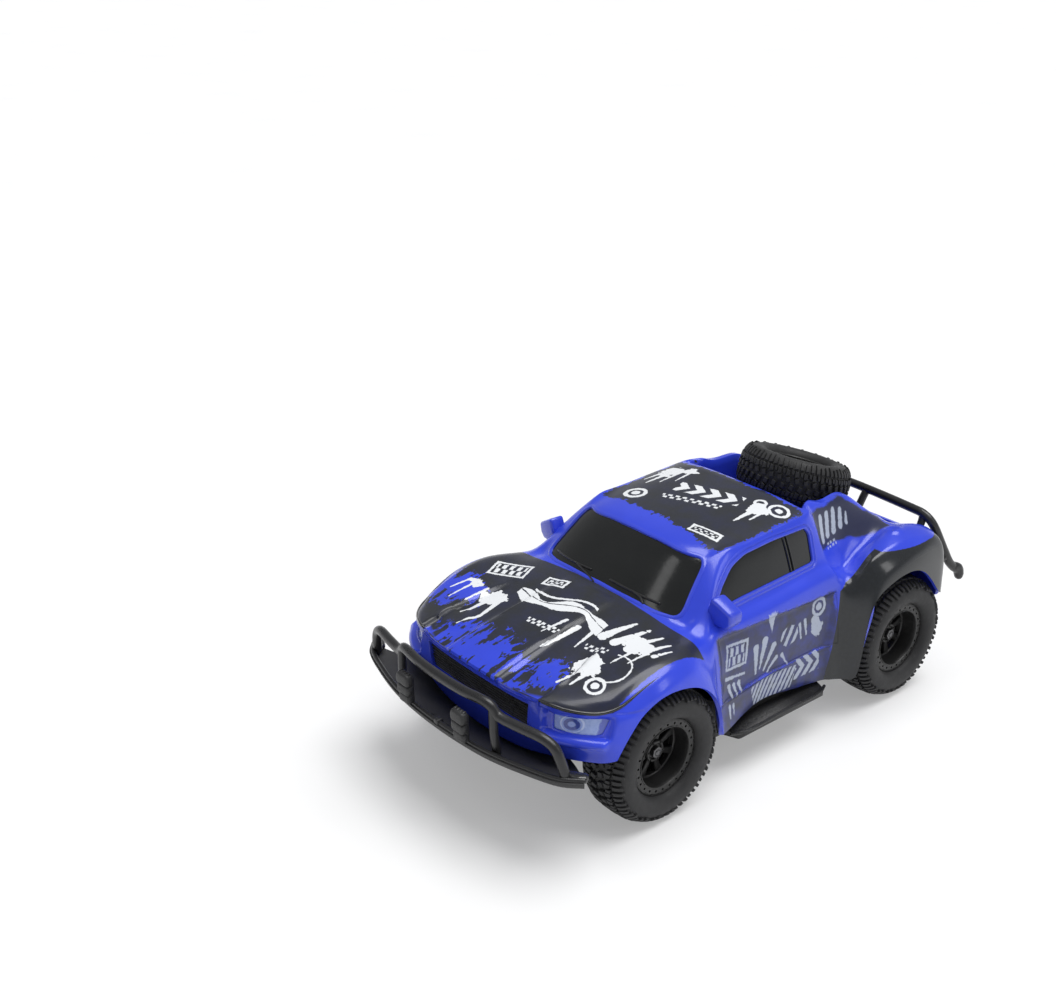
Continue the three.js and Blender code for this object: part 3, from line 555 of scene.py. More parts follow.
def bonnet_marks(x, y, rag, blot, dry):
    """White marks on the bonnet, seen from above. Negative on the ink."""
    splat = (disc(x, y, -29, -92, 1.25) - 6.2 + blot * 3.2).lowest(
        disc(x, y, -44, -90, 1.5) - 4.2 + blot * 3.0,
        disc(x, y, 45, -76, 1.1) - 6.4 + blot * 4.0,
        disc(x, y, 38.5, -98, 0.9) - 5.8 + blot * 3.0,
    )
    drips = tapers(x, y, (
        (-30, -92, -33, -107, 1.7, 0.5), (-25, -93, -23.5, -104, 1.5, 0.8),
        (-23.5, -104, -27, -114, 1.0, 0.3), (-36, -90, -38, -101, 0.9, 0.3),
        (-45, -90, -47, -103, 0.9, 0.3), (-49, -89, -52, -98, 0.7, 0.3),
        (17, -84, 15.5, -103, 1.4, 0.4), (11, -85, 9, -97, 0.9, 0.3), (24, -82, 25, -93, 0.9, 0.3),
        (46, -80, 44.5, -91, 0.8, 0.3), (51, -78, 50, -87, 0.7, 0.3), (38, -101, 36, -112, 1.6, 0.4),
        (42, -102, 41.5, -110, 1.1, 0.3),
    ))
    slashes = tapers(x, y, (
        (33, -66, 29, -81, 0.6, 2.3), (40, -65, 36, -81, 0.7, 2.2), (47, -64.5, 43, -78, 0.6, 1.9),
        (53, -66, 50, -76, 0.5, 1.6), (56.5, -69, 54.5, -77, 0.4, 1.2),
    ))
    u, v = turned_axes(x, y, 1, -80, 8)
    bend = v - (u * 0.17).math("SINE") * 2.6
    swell = (u * 0.31 + 0.8).math("SINE") * 1.3 + 2.9
    split = 0.26 - (bend - 0.9).abs() * 1.1
    second = ((bend - 5.6).abs() - 0.7).highest((u + 2).abs() - 17)
    brush = (bend.abs() - swell).highest(u.abs() - 25, split).lowest(second)
    u, v = turned_axes(x, y, 6, -94, 8)
    dashes = checks(u, v, 17, 3.6, 6)
    u, v = turned_axes(x, y, 33, -88.6, 12)
    dashes = dashes.lowest(checks(u, v, 11, 3.6, 4))
    u, v = turned_axes(x, y, -41, -73, 22)
    dry_edge = (dry * 2.6 - 0.9).highest(0)
    ink = splat.lowest(drips, slashes + dry_edge, brush + dry_edge, dashes, stamp(u, v, 19, 11.5, 4))
    u, v = turned_axes(x, y, -15, -68.5, 12)
    ink = ink.lowest(stamp(u, v, 12, 6.5, 3))
    ink = ink.lowest(ring(x, y, 49.5, -104, 3.8) - 0.7, disc(x, y, 49.5, -104) - 1.7)
    ink = ink.lowest((ring(x, y, 47, -93, 8.2) - 0.4).highest(43 - x))
    return ink + rag


def roof_marks(x, y, rag, blot):
    """White marks on the roof, seen from above. Negative on the ink."""
    target = (ring(x, y, -25, -12, 4.6) - 1.0).lowest(disc(x, y, -25, -12) - 2.1)
    splat = (disc(x, y, -31, 17, 0.8) - 5.0 + blot * 3.4).lowest(
        disc(x, y, -23, 22, 1.2) - 3.4 + blot * 3.0, disc(x, y, 25.6, 14, 1.0) - 4.6 + blot * 2.8)
    drips = tapers(x, y, (
        (-33, 16, -35, 3, 1.2, 0.3), (-30, 16, -30.5, 0, 1.6, 0.4), (-26, 20, -25.5, 4, 1.1, 0.3),
        (-22, 22, -20.5, 9, 0.9, 0.3), (25, 12, 25.6, -1, 1.5, 0.4), (28.6, 12, 29.2, 5, 0.9, 0.3),
    ))
    u, v = turned_axes(x, y, 0.5, 9.6, 14)
    bands = chevrons(u, v, 33, 9.6, 8.2, 0.27)
    u, v = turned_axes(x, y, 0, -1.6, 18)
    bands = bands.lowest(checks(u, v, 29, 4.2, 8))
    rings = (ring(x, y, 32, 21, 4.4) - 0.8).lowest(disc(x, y, 32, 21) - 1.7)
    rings = rings.lowest(ring(x, y, 22.6, 19.4, 2.6) - 0.7)
    u, v = turned_axes(x, y, 24.4, -17.8, 11)
    return target.lowest(splat, drips, bands, rings, stamp(u, v, 15.5, 6.0, 4)) + rag


def side_marks(y, z, rag, blot):
    """White marks on the door and the skirt, seen from the side. Negative on the ink."""
    u, v = turned_axes(y, z, -29.4, 57.2, -6)
    ink = stamp(u, v, 14.5, 12, 3)
    flame = tapers(y, z, (
        (-15.5, 42.5, -16.5, 55.5, 0.5, 1.7), (-13, 44, -10.5, 57.0, 0.5, 1.9),
        (-10, 42, -4.6, 52.5, 0.5, 1.6), (-7.5, 40.5, -2.0, 45.5, 0.4, 1.1),
        (-36.6, 48.4, -24, 46.4, 0.9, 0.5), (1.5, 45.5, 5.5, 39.5, 0.9, 0.4),
        (12.2, 57.0, 13.6, 49.4, 0.9, 0.4), (15.6, 57.6, 17.2, 50.2, 0.9, 0.4),
        (-35, 44.6, -33.4, 38.6, 1.1, 0.4), (-31.4, 44, -29.8, 38.4, 1.1, 0.4),
        (-27.8, 43.6, -26.4, 38.2, 1.1, 0.4), (-35, 35.4, -34.6, 29.5, 0.9, 0.3),
        (-32, 34.8, -31.7, 29.8, 0.9, 0.3),
    ))
    wedge = (z - 68.5).highest((y + 6.4).abs() * 3.2 - (z - 59.5)) * 0.4
    bars = ((y * 0.9 - z * 0.5) * 1.35).math("SINE") * -0.8 + 0.1
    ball = (disc(y, z, 5.6, 53.6, 1.15) - 5.6).highest(bars)
    rings = (ring(y, z, 25.0, 61.2, 3.9) - 0.8).lowest(disc(y, z, 25.0, 61.2) - 1.9)
    rings = rings.lowest(disc(y, z, 23.4, 52.0, 0.75) - 3.6 + blot * 2.2)
    slope = y - (z - 30) * 0.55
    fold = ((slope / 3.1).math("FRACT") - 0.5).abs() * 3.1
    top = z - 38.4 + (y + 4).abs() * 0.12
    ends = (y + 3).abs() - 13.5 - (z - 30) * 0.3
    stripes = (fold - 0.95).highest(top, ends, 26 - z)
    arrows = chevrons(y - 19.5, z - 34.2, 16, 10.5, 5.6, 0.28)
    return ink.lowest(flame, wedge, ball, rings, stripes, arrows) + rag


def rail_marks(y, z, rag):
    """White slanted strokes on the outer wall of the bed rail. Negative on the ink."""
    ink = tapers(y, z, (
        (40.0, 84.6, 42.6, 93.4, 1.6, 1.3), (45.2, 85.2, 47.8, 93.6, 1.6, 1.3),
        (50.4, 85.6, 53.0, 93.8, 1.6, 1.3), (55.6, 86.2, 57.8, 92.8, 1.4, 1.1),
        (59.8, 86.6, 61.2, 90.6, 0.9, 0.6),
    ))
    return ink.lowest(checks(y - 46.5, z - 80.9, 8, 3.0, 3)) + rag


def bonnet_print(x, y, z, coarse, fine, blot, streak, spray):
    """Black bonnet, with blue left bare at the front middle, front right and in the scoops."""
    wide = x.abs()
    front_edge = z - 63.3 + (wide - 38).highest(0) * 0.085
    rear_edge = -57.2 - y + (wide - 38).highest(0) * 0.12
    black = rear_edge.lowest(front_edge, 61.2 - wide + fine * 0.3)
    bare_front = (1.0 - disc(x / 31, y / 15, -0.12, -8.13)) * 13
    bare_right = (1.0 - disc(x / 14, y / 12, -3.5, -8.25)) * 10
    bare_scoop = (1.0 - disc(x / 10, y / 8, 3.0, -13.9)) * 9
    torn = coarse * 4.6 + streak * 7.0 + fine * 1.5 + spray * 0.6
    bare = bare_front.highest(bare_right, bare_scoop).lowest(38.0 - x) + torn
    runs = (streak * 3.4 + blot * 1.6 - 0.55).lowest(-y - 100)
    bare = bare.lowest(-runs * 3)
    near_bare = (bare_front.highest(bare_right) * 0.16).lowest(0.6)
    flecks = blot * 3.2 + coarse * 2.0 - 3.3 + near_bare
    return black.lowest(-(bare.highest(flecks)))


def roof_print(x, y, z, coarse, fine, blot, streak, spray):
    """Black roof behind a ragged front edge, with blue along its sides and its rear edge."""
    wide = x.abs()
    ragged = coarse * 2.8 + streak * 2.0 + fine * 1.5 + spray * 0.8
    black = (y + 22.5 + x * 0.05).lowest(38.2 - wide, 29.2 - y) + ragged
    speckle = (blot * 3.0 + fine * 1.4 - 2.2).lowest(y + 31, 38 - wide, 1.5 - black * 0.4)
    return black.highest(speckle).lowest(z - 94)


def side_print(wide, y, z, coarse, fine, blot, streak):
    """Worn black on the door panel, the skirt and the outer wall of the rails, from 0 to 1."""
    door = (z - 39.4).lowest(69.2 - z - (y + 40) * 0.05, y + 41 + (z - 40) * 0.08, 35.8 - y)
    skirt = (39 - z).lowest(y + 41.5, 33 - y)
    door = (door.highest(skirt) + coarse * 1.5 + fine * 0.7).lowest(wide - 52)
    rail_top = 97.5 - z - (y - 60).highest(0) * 0.62
    rail = (y - 36).lowest(rail_top, z - 81 + (y - 48) * 0.06, 84 - y)
    rail = (rail + coarse * 1.6).lowest(wide - 33, 47 - wide)
    worn = (streak * 0.5 + blot * 0.7).ramp(-0.9, 1.2, 0.97, 0.62)
    return (door.ramp(-0.8, 0.9) * worn).highest(rail.ramp(-0.6, 0.7) * 0.94)


def fender_print(wide, y, z, fine):
    """Clean black on the outer face of the rear fender, from 0 to 1."""
    crest = 78.4 - (y - 60).abs().highest(0) * 0.07 - (58 - y).highest(0) * 0.62
    crest = crest.lowest(69 + (y - 42) * 0.9)
    front_leg = y - 38.2 + (64 - z).highest(0) * 0.17
    return (crest - z + fine * 0.2).lowest(wide - 55.5, front_leg).ramp(-0.12, 0.12)


def shell_relief(wide, y, z):
    """Crisp edges finer than the mesh: bonnet creases, the door panel, the skirt and the tailgate."""
    crease = (wide - 15.6 + (y + 100) * 0.035).ramp(-0.35, 0.35, 1, 0)
    crease = crease * (-y).ramp(78, 92) * (z - 60).ramp(0, 2)
    door = (z - 40.2).lowest(68.6 - z - (y + 40) * 0.05, y + 41.6, 36.4 - y, wide - 53)
    step = door.ramp(-0.35, 0.35, 1, 0)
    off_skirt = (54 - wide).ramp(-0.5, 0.5).highest((y - 33).ramp(-0.5, 0.5))
    hem = (z - 39.2).abs().ramp(0.2, 0.6, 0, 1).highest(off_skirt)
    lip_line = wide - 38.2 + (y + 108).highest(0) * 0.28
    lip = lip_line.ramp(-0.45, 0.45) * (-y).ramp(88, 99) * (z - 60.5).ramp(0, 1)
    off_lip = (y + 96).ramp(-3, 3).highest((61 - z).ramp(0, 1))
    seam = lip_line.abs().ramp(0.15, 0.7, 0, 1).highest(off_lip)
    tailgate = (36 - wide).lowest(z - 47, 67 - z, y - 102).ramp(-0.4, 0.4)
    return crease * 1.3 + lip * 1.4 + seam * 0.7 + step * 1.2 + hem * 0.8 - tailgate * 0.9


def shell_paint():
    """Blue shell with black splattered print and white marks over it."""
    look = Look("shell_paint", coat=0.22, specular=0.4)
    x, y, z = look.xyz()
    wide = x.abs()
    coarse = look.noise(9, 4)
    fine = look.noise(1.6, 3)
    blot = look.noise(4.5, 3)
    streak = look.noise(3.0, 3, (1, 5, 4))
    spray = look.noise(0.7, 2)

    bonnet = bonnet_print(x, y, z, coarse, fine, blot, streak, spray)
    roof = roof_print(x, y, z, coarse, fine, blot, streak, spray)
    fender = fender_print(wide, y, z, fine)
    splatter = bonnet.highest(roof).ramp(-0.2, 0.25) * coarse.ramp(-0.9, 1.2, 1.0, 0.95)
    ink = splatter.highest(side_print(wide, y, z, coarse, fine, blot, streak), fender)

    rag = fine * 0.34 + blot * 0.18 + spray * 0.10
    dry = look.noise(1.1, 2, (7, 1.4, 1))
    from_above = bonnet_marks(x, y, rag, blot, dry).highest(y + 52, 58 - z)
    from_above = from_above.lowest(roof_marks(x, y, rag, blot).highest(94.5 - z))
    from_side = side_marks(y, z, rag * 1.2, blot).highest(54 - wide, z - 70, y - 36, -41 - y)
    from_side = from_side.lowest(rail_marks(y, z, rag).highest(33 - wide, wide - 48, 36 - y))
    scuff = look.noise(0.9, 3).ramp(0.3, 0.95, 1.0, 0.3)
    white = from_above.ramp(-0.14, 0.14, 1, 0) * scuff.ramp(0.3, 0.8, 0.72, 1.0)
    faint = from_side.ramp(-0.3, 0.3, 1, 0) * scuff * 0.75

    cloud = look.noise(22, 2)
    deep_blue = tuple(c * 0.92 for c in BLUE)
    light_blue = tuple(c * 1.08 for c in BLUE)
    base = look.blend(cloud.ramp(-1, 1), deep_blue, light_blue)
    printed = look.blend(fine.ramp(-1, 1.2), PRINT_BLACK, PRINT_GREY)
    colour = look.blend(ink, base, printed)
    colour = look.blend(faint, colour, FADED_WHITE)
    look.colour(look.blend(white, colour, WHITE))
    micro = look.noise(0.9, 2)
    look.rough(ink.ramp(0, 1, 0.22, 0.33) - fender * 0.14 + micro * 0.01 + cloud * 0.02)
    relief = shell_relief(wide, y, z)
    relief = relief + white * 0.10 + ink * 0.08 + micro * 0.004 + cloud * 0.03
    look.bump(relief / 4, 1.4)
    return look.material


MATERIALS = {
    "paint": shell_paint(),
    "inside": plastic("shell_inside", (0.022, 0.042, 0.48), (0.030, 0.056, 0.58), 0.38, 1.2),
    "blue": plastic("blue_moulding", (0.027, 0.054, 0.59), (0.032, 0.063, 0.66), 0.24, 1.5, 0.015, 0.04, 0.3),
    "glass": window_gloss(),
    "lamp": lamp_print(),
    "gloss": plastic("gloss_black", (0.012, 0.012, 0.013), (0.020, 0.020, 0.021), 0.2, 1.4, 0.015, 0.05, 0.3),
    "satin": plastic("satin_black", (0.012, 0.012, 0.013), (0.022, 0.022, 0.023), 0.30, 0.5, 0.03),
    "matte": plastic("matte_black", (0.014, 0.014, 0.015), (0.026, 0.026, 0.027), 0.55, 0.45, 0.05),
    "rim": plastic("rim_black", (0.009, 0.009, 0.009), (0.018, 0.018, 0.018), 0.42, 0.6, 0.03),
    "mesh": plastic("grille_black", (0.006, 0.006, 0.007), (0.016, 0.016, 0.017), 0.30, 0.6, 0.04),
    "grain": plastic("step_grain", (0.012, 0.012, 0.013), (0.026, 0.026, 0.027), 0.5, 0.8, 0.09, 0.12),
    "rubber": rubber(),
    "steel": metal("bright_steel", (0.62, 0.62, 0.63), (1, 6, 1)),
    "dark_steel": metal("dark_steel", (0.16, 0.16, 0.165), (1, 1, 4), 0.4),
    "brass": metal("turned_brass", (0.72, 0.52, 0.24), (1, 5, 5)),
    "nylon": plastic("white_nylon", (0.66, 0.65, 0.60), (0.78, 0.77, 0.72), 0.42, 0.7, 0.03),
    "board": plastic("green_board", (0.015, 0.10, 0.035), (0.03, 0.17, 0.06), 0.35, 2.0, 0.04),
    "wrap": plastic("cell_wrap", (0.03, 0.14, 0.05), (0.05, 0.20, 0.08), 0.28, 4.0, 0.02),
}


# ---------- body shell ----------

BED = 68  # height of the bed's floor
SHELL_WALL = 1.6
SKIN_LEVELS = 3
FIT_PASSES = 3
FIT_SHARE = 0.8  # how much of the remaining gap each pass takes up
EDGE_SHARE = {"lip": 0.75, "roof": 0.6, "fold": 0.85, "rail": 0.5, "soft": 0.3}

# Half rows of the outer skin, each from the centre outwards.
BODY_ROWS = [
    # chin
    [[0, -122, 33], [14, -121.8, 33.4], [26, -121, 34.5], [33, -120.5, 36], [40, -119.5, 37.5],
     [47, -118, 39], [53, -116, 40], [58, -113.5, 40.8], [62, -111.5, 41.5], [65, -109.5, 42.5],
     [67, -107.5, 43.5]],
    # foot of the grille
    [[0, -124, 46], [14, -123.8, 46], [26, -123.5, 46.3], [33, -123, 46.8], [40, -123.5, 48],
     [48, -121, 48.5], [55, -117, 48.5], [60, -113, 48.5], [63, -110.5, 49], [65.5, -107.5, 49.5],
     [67.3, -103.5, 49.5]],
    # foot of the lamps
    [[0, -125, 52], [14, -124.8, 52], [26, -124.5, 52], [33.5, -124, 52], [41, -123.5, 51.8],
     [49, -121, 51.5], [56, -116.5, 51.5], [61, -111.5, 51.7], [64, -108, 52.5], [66, -104, 53.3],
     [67.5, -100.3, 53.5]],
    # head of the grille
    [[0, -126, 60.3], [14, -125.8, 60.3], [26, -125.2, 60.3], [34.5, -124, 60.3], [42, -122.5, 60.3],
     [50, -119, 60], [56.5, -114, 59.5], [61, -108.5, 59], [64, -104.5, 59], [66, -101, 58.5],
     [67.5, -97, 57]],
    # front edge of the bonnet
    [[0, -127.5, 64.5], [16, -127, 64.5], [28, -125.8, 64.3], [37, -123.3, 64], [46, -120, 63.4],
     [53.5, -114.5, 62.8], [59, -107.5, 62], [62, -103.5, 61.5], [64.7, -100, 61], [66.3, -97, 60.3],
     [67.5, -94, 59.2]],
    # bonnet, front
    [[0, -110, 69.4], [16, -109.5, 69.2], [28, -108.5, 68.3], [38, -107, 67.2], [47, -104.5, 66.8],
     [55, -101, 66.8], [60, -98, 66.3], [63, -95.5, 65.5], [65.5, -93, 64.2], [67, -91, 62.8],
     [67.7, -89, 61.7]],
    # bonnet, middle
    [[0, -88, 73.2], [16, -87.7, 73], [28, -87, 72.4], [38, -86, 71.7], [47, -85, 71.6],
     [55, -84, 72], [60, -83, 71.5], [63.5, -82.5, 70], [66, -82, 67.5], [67.5, -81.5, 65.2],
     [68, -80.5, 63.6]],
    # bonnet, rear
    [[0, -68, 76], [16, -67.5, 75.8], [28, -66.5, 75.2], [38, -65, 74.5], [47, -64.5, 73.8],
     [54.5, -64.5, 73.3], [59.5, -65, 72], [63, -65.5, 70], [65.5, -66, 67], [67, -66.5, 64],
     [67.7, -67, 61]],
    # foot of the windscreen
    [[0, -57.5, 77.3], [16, -57, 77], [30, -54.8, 76.2], [41, -51.4, 74.8], [49, -49.5, 73.3],
     [54.5, -50, 71.3], [58, -52, 68.5], [61, -53.5, 65], [64, -54.5, 61.5], [66, -55, 57.5],
     [67.3, -55.2, 53.2]],
    # windscreen, low
    [[0, -46.5, 88], [15, -46, 87.6], [28, -44.3, 86.5], [38.3, -41.5, 84.6], [45.5, -37.5, 84.5],
     [53, -43.5, 73.2], [56.9, -45, 69.8], [59.6, -46.8, 63.8], [62, -47.8, 55.8], [64, -47.4, 47],
     [66, -46.4, 38]],
    # head of the windscreen
    [[0, -35, 98], [14, -34.5, 97.7], [26, -33, 96.5], [35.4, -30.7, 94.3], [41, -24, 94.8],
     [51.3, -36, 75], [55.5, -37, 71], [57.8, -39, 62], [59.5, -41, 50], [61.5, -42, 38],
     [64, -42, 26]],
    # roof, front
    [[0, -18, 100.3], [15, -17.5, 100], [27, -16.5, 99.2], [36.5, -15, 97.3], [41.5, -13, 95.3],
     [50.5, -14, 75.2], [54.8, -14, 71], [56.8, -14, 63], [57, -14, 50], [56.7, -14, 39],
     [56.5, -14, 27]],
    # roof, middle
    [[0, 8, 101.8], [15, 8, 101.5], [26.5, 8, 100.7], [36.5, 8, 98.9], [41.3, 9, 96],
     [49.7, 8, 76.2], [54.3, 8, 72], [56.3, 8, 64], [57, 8, 51], [56.7, 8, 38],
     [56.5, 8, 24.5]],
    # roof, rear
    [[0, 31, 102], [15, 31, 101.9], [26, 31, 101.5], [36, 31.5, 100], [40.5, 32, 97],
     [48.5, 33, 77.5], [53.5, 33, 73], [56, 34, 65], [57, 32, 52], [57, 30, 38],
     [57.5, 30, 22]],
    # bed, front
    [[0, 35, BED], [17, 35, BED], [30.5, 35, BED], [32.5, 36, 98.8], [36.7, 37, 98.3],
     [48.2, 38.5, 76], [53.5, 38.5, 71], [56.5, 38.5, 64], [58.7, 38, 54], [61, 38.5, 40],
     [62.2, 40, 21.5]],
    # bed
    [[0, 44, BED], [17, 44, BED], [29.7, 44, BED], [31.7, 45, 98.1], [35.9, 46, 97.6],
     [46.5, 46.5, 72.5], [52.5, 46, 69], [58.3, 45, 67], [61.5, 44, 60], [65, 43.6, 46],
     [66.6, 43.7, 26]],
    [[0, 53, BED], [17, 53, BED], [29, 53, BED], [31, 54, 97.5], [35.2, 55, 97],
     [46, 54, 73], [52.5, 54, 73], [59.3, 53, 74.5], [63.3, 51.5, 68.5], [66, 49.5, 59.5],
     [67.1, 47.5, 54]],
    # bed, at the wheel arch
    [[0, 63, BED], [17, 63, BED], [28.5, 63, BED], [30.5, 64.5, 97], [34.7, 65, 96.4],
     [46.2, 62, 76.5], [52.5, 60, 77], [59.5, 59, 77.5], [64, 58.5, 73], [66.8, 58.2, 68],
     [67.5, 58, 64]],
    # bed
    [[0, 74, BED], [17, 74, BED], [31, 74, BED], [32.8, 75, 89.5], [36.6, 75, 89],
     [46.4, 73, 79.5], [53, 73, 81.5], [60.5, 72.5, 79.8], [65, 72, 75.5], [67.3, 71.7, 71],
     [68, 71.4, 67.5]],
    # bed, rear
    [[0, 86, BED], [17, 86, BED], [34, 86, BED], [36, 86, 81.7], [39.5, 86, 81.3],
     [46.8, 85.5, 80.3], [53.5, 86, 81.7], [61, 86, 79], [65.2, 86.5, 74.5], [67.2, 86.5, 69],
     [67.8, 86, 63.3]],
    # inside of the tailgate
    [[0, 99, BED], [17, 99, BED], [34.5, 98.5, BED], [37.2, 96, 75], [41, 96, 75],
     [47, 96, 78], [54, 97, 79.3], [61.3, 97, 76.3], [65, 97.5, 71], [66.8, 98, 62],
     [67.3, 98.3, 50]],
    # top of the tailgate
    [[0, 101.5, 73], [17, 101.5, 73], [32, 101.2, 73.3], [40, 100.5, 74], [44, 100.5, 74.8],
     [48, 101.5, 76.3], [54.3, 102.5, 77], [61, 103, 74], [64.5, 103, 69], [65.8, 103, 60],
     [66.3, 102.8, 47]],
    # outer edge of the tailgate
    [[0, 104.5, 72.5], [17, 104.3, 72.5], [32, 103.8, 72.7], [40, 103.3, 73], [44, 103.3, 73.7],
     [48, 104, 74.5], [54, 105, 75], [60, 105.5, 72], [63, 105.5, 67], [64.3, 105, 58],
     [64.8, 104.6, 46]],
    # tailgate
    [[0, 107, 58], [17, 106.8, 58], [32, 106.4, 58], [40, 106, 58.3], [44, 106, 58.7],
     [48, 106.3, 59], [53, 107, 59], [58, 107, 58], [61, 106.8, 56], [62.6, 106.4, 51],
     [63.3, 106, 44.5]],
    # foot of the tailgate
    [[0, 107.5, 42], [17, 107.3, 42], [32, 107, 42], [40, 106.7, 42], [44, 106.6, 42],
     [48, 106.6, 42], [52, 106.8, 42], [56, 106.8, 42], [59, 106.7, 42], [61, 106.5, 42.3],
     [62.3, 106.3, 43]],
]
HALF = len(BODY_ROWS[0]) - 1
ROWS = len(BODY_ROWS)

# Sharper edges of the cage: (row, first column, last column, kind) along a row, and
# (column, first row, last row, kind) along a column. Column 0 is the centre.
SHARP_ALONG_ROW = [
    (4, 3, 8, "lip"), (4, 0, 3, "rail"), (3, 0, 3, "soft"), (8, 0, 4, "rail"), (10, 0, 3, "soft"),
    (13, 0, 4, "roof"), (14, 0, 2, "fold"), (20, 0, 2, "fold"), (21, 0, 8, "rail"), (22, 0, 9, "roof"),
]
SHARP_ALONG_COLUMN = [
    (2, 14, 20, "fold"), (3, 14, 20, "roof"), (4, 14, 20, "rail"), (5, 9, 14, "rail"), (6, 9, 14, "soft"),
    (5, 14, 18, "soft"), (7, 15, 22, "fold"), (3, 8, 10, "soft"), (4, 10, 13, "soft"),
]


def cage():
    """The coarse shell, with a crease on its sharper edges, and the places of its points."""
    points = np.array([both_halves(row) for row in BODY_ROWS])
    columns = points.shape[1]
    thing = new_object("shell", points.reshape(-1, 3), grid_faces(ROWS, columns), MATERIALS["paint"])
    sharp = {}
    for row, low, high, kind in SHARP_ALONG_ROW:
        for c in range(-high, high):
            if c >= low or c < -low:
                a = row * columns + HALF + c
                sharp[a, a + 1] = EDGE_SHARE[kind]
    for column, low, high, kind in SHARP_ALONG_COLUMN:
        for r in range(low, high):
            for c in (column, -column):
                a = r * columns + HALF + c
                sharp[a, a + columns] = EDGE_SHARE[kind]
    creases = thing.data.attributes.new("crease_edge", "FLOAT", "EDGE")
    for i, edge in enumerate(thing.data.edges):
        creases.data[i].value = sharp.get(tuple(sorted(edge.vertices)), 0.0)
    return thing, points.reshape(-1, 3)


def read_points(mesh):
    """A mesh's points in millimetres."""
    co = np.empty(len(mesh.vertices) * 3)
    mesh.vertices.foreach_get("co", co)
    return unplace(co.reshape(-1, 3))


def write_points(mesh, points):
    """Moves a mesh's points to places in millimetres."""
    mesh.vertices.foreach_set("co", place(points).ravel())
    mesh.update()


def smooth_step(value, low, high):
    """0 below low, 1 above high, and smooth between them."""
    t = np.clip((value - low) / (high - low), 0, 1)
    return t * t * (3 - 2 * t)


def path_distance(u, v, path):
    """Signed distance from an open path in a plane, positive on its left."""
    best = np.full(u.shape, 1e9)
    sign = np.ones(u.shape)
    for (ax, ay), (bx, by) in zip(path, path[1:]):
        dx, dy = bx - ax, by - ay
        t = np.clip(((u - ax) * dx + (v - ay) * dy) / (dx * dx + dy * dy), 0, 1)
        gap = np.hypot(u - ax - t * dx, v - ay - t * dy)
        side = np.sign(dx * (v - ay) - dy * (u - ax))
        closer = gap < best
        best = np.where(closer, gap, best)
        sign = np.where(closer, side, sign)
    return best * sign


def outline_depth(u, v, outline):
    """How far inside a closed outline a point is, negative outside."""
    best = np.full(u.shape, 1e9)
    inside = np.zeros(u.shape, bool)
    for (ax, ay), (bx, by) in zip(outline, outline[1:] + outline[:1]):
        dx, dy = bx - ax, by - ay
        t = np.clip(((u - ax) * dx + (v - ay) * dy) / max(dx * dx + dy * dy, 1e-9), 0, 1)
        best = np.minimum(best, np.hypot(u - ax - t * dx, v - ay - t * dy))
        crosses = ((ay > v) != (by > v)) & (u < ax + dx * (v - ay) / (dy if dy else 1e-9))
        inside ^= crosses
    return np.where(inside, best, -best)


DOOR_PANEL = [(-42.2, 69), (37.5, 65), (31, 38.6), (-39.2, 40.4)]


def sculpt(points, normals):
    """Moulded detail that is finer than the cage."""
    x, y, z = np.abs(points[:, 0]), points[:, 1], points[:, 2]
    lift = np.zeros(len(points))

    # Bonnet: raised middle, sunk channels with a scoop, and raised fender tops.
    bonnet = smooth_step(-y, 56, 66) * smooth_step(z, 62.5, 64.5)
    spread = 15.6 - (y + 100) * 0.035
    middle = smooth_step(spread - x, -1.2, 1.2)
    fade = smooth_step(-y, 70, 100)
    edge = path_distance(x, y, [(34, -88), (38, -106), (38.4, -130)])
    outer = smooth_step(edge, -1.0, 1.0) * smooth_step(61 - x, 0, 3)
    channel = (1 - middle) * (1 - smooth_step(edge, -1.0, 1.0))
    lift += bonnet * (0.7 * middle - 1.3 * channel * fade + 0.9 * outer * fade)
    scoop = np.hypot((x - 31) / 8.5, (y + 111) / 6.5)
    lift += bonnet * 1.1 * smooth_step(1.1 - scoop, 0, 0.35)

    # Door: a sunk panel, and the skirt stepping in below it.
    on_side = smooth_step(x, 52, 55)
    door = outline_depth(y, z, DOOR_PANEL)
    lift -= on_side * 1.1 * smooth_step(door, -0.4, 1.3)
    skirt = smooth_step(39 - z, 0, 1.6) * smooth_step(y + 46, 0, 4) * smooth_step(34 - y, 0, 3)
    lift -= on_side * 0.9 * skirt

    # A dimple on each rear fender, where the bar is screwed on.
    dimple = np.hypot(x - 52, y - 79)
    top = smooth_step(z, 74, 77)
    lift += top * (0.7 * smooth_step(5.2 - dimple, 0, 1.6) - 1.3 * smooth_step(2.6 - dimple, 0, 1.2))

    # Ledge under each headlamp, and the lamp set back above it.
    front = smooth_step(-y, 104, 108) * smooth_step(x, 40, 42) * smooth_step(64.5 - x, 0, 2)
    lift += front * 1.9 * np.exp(-((z - 49.2) / 1.7) ** 2)
    lift -= front * 2.0 * smooth_step(z, 51, 52) * smooth_step(60.6 - z, 0, 1.2)
    return points + normals * lift[:, None]


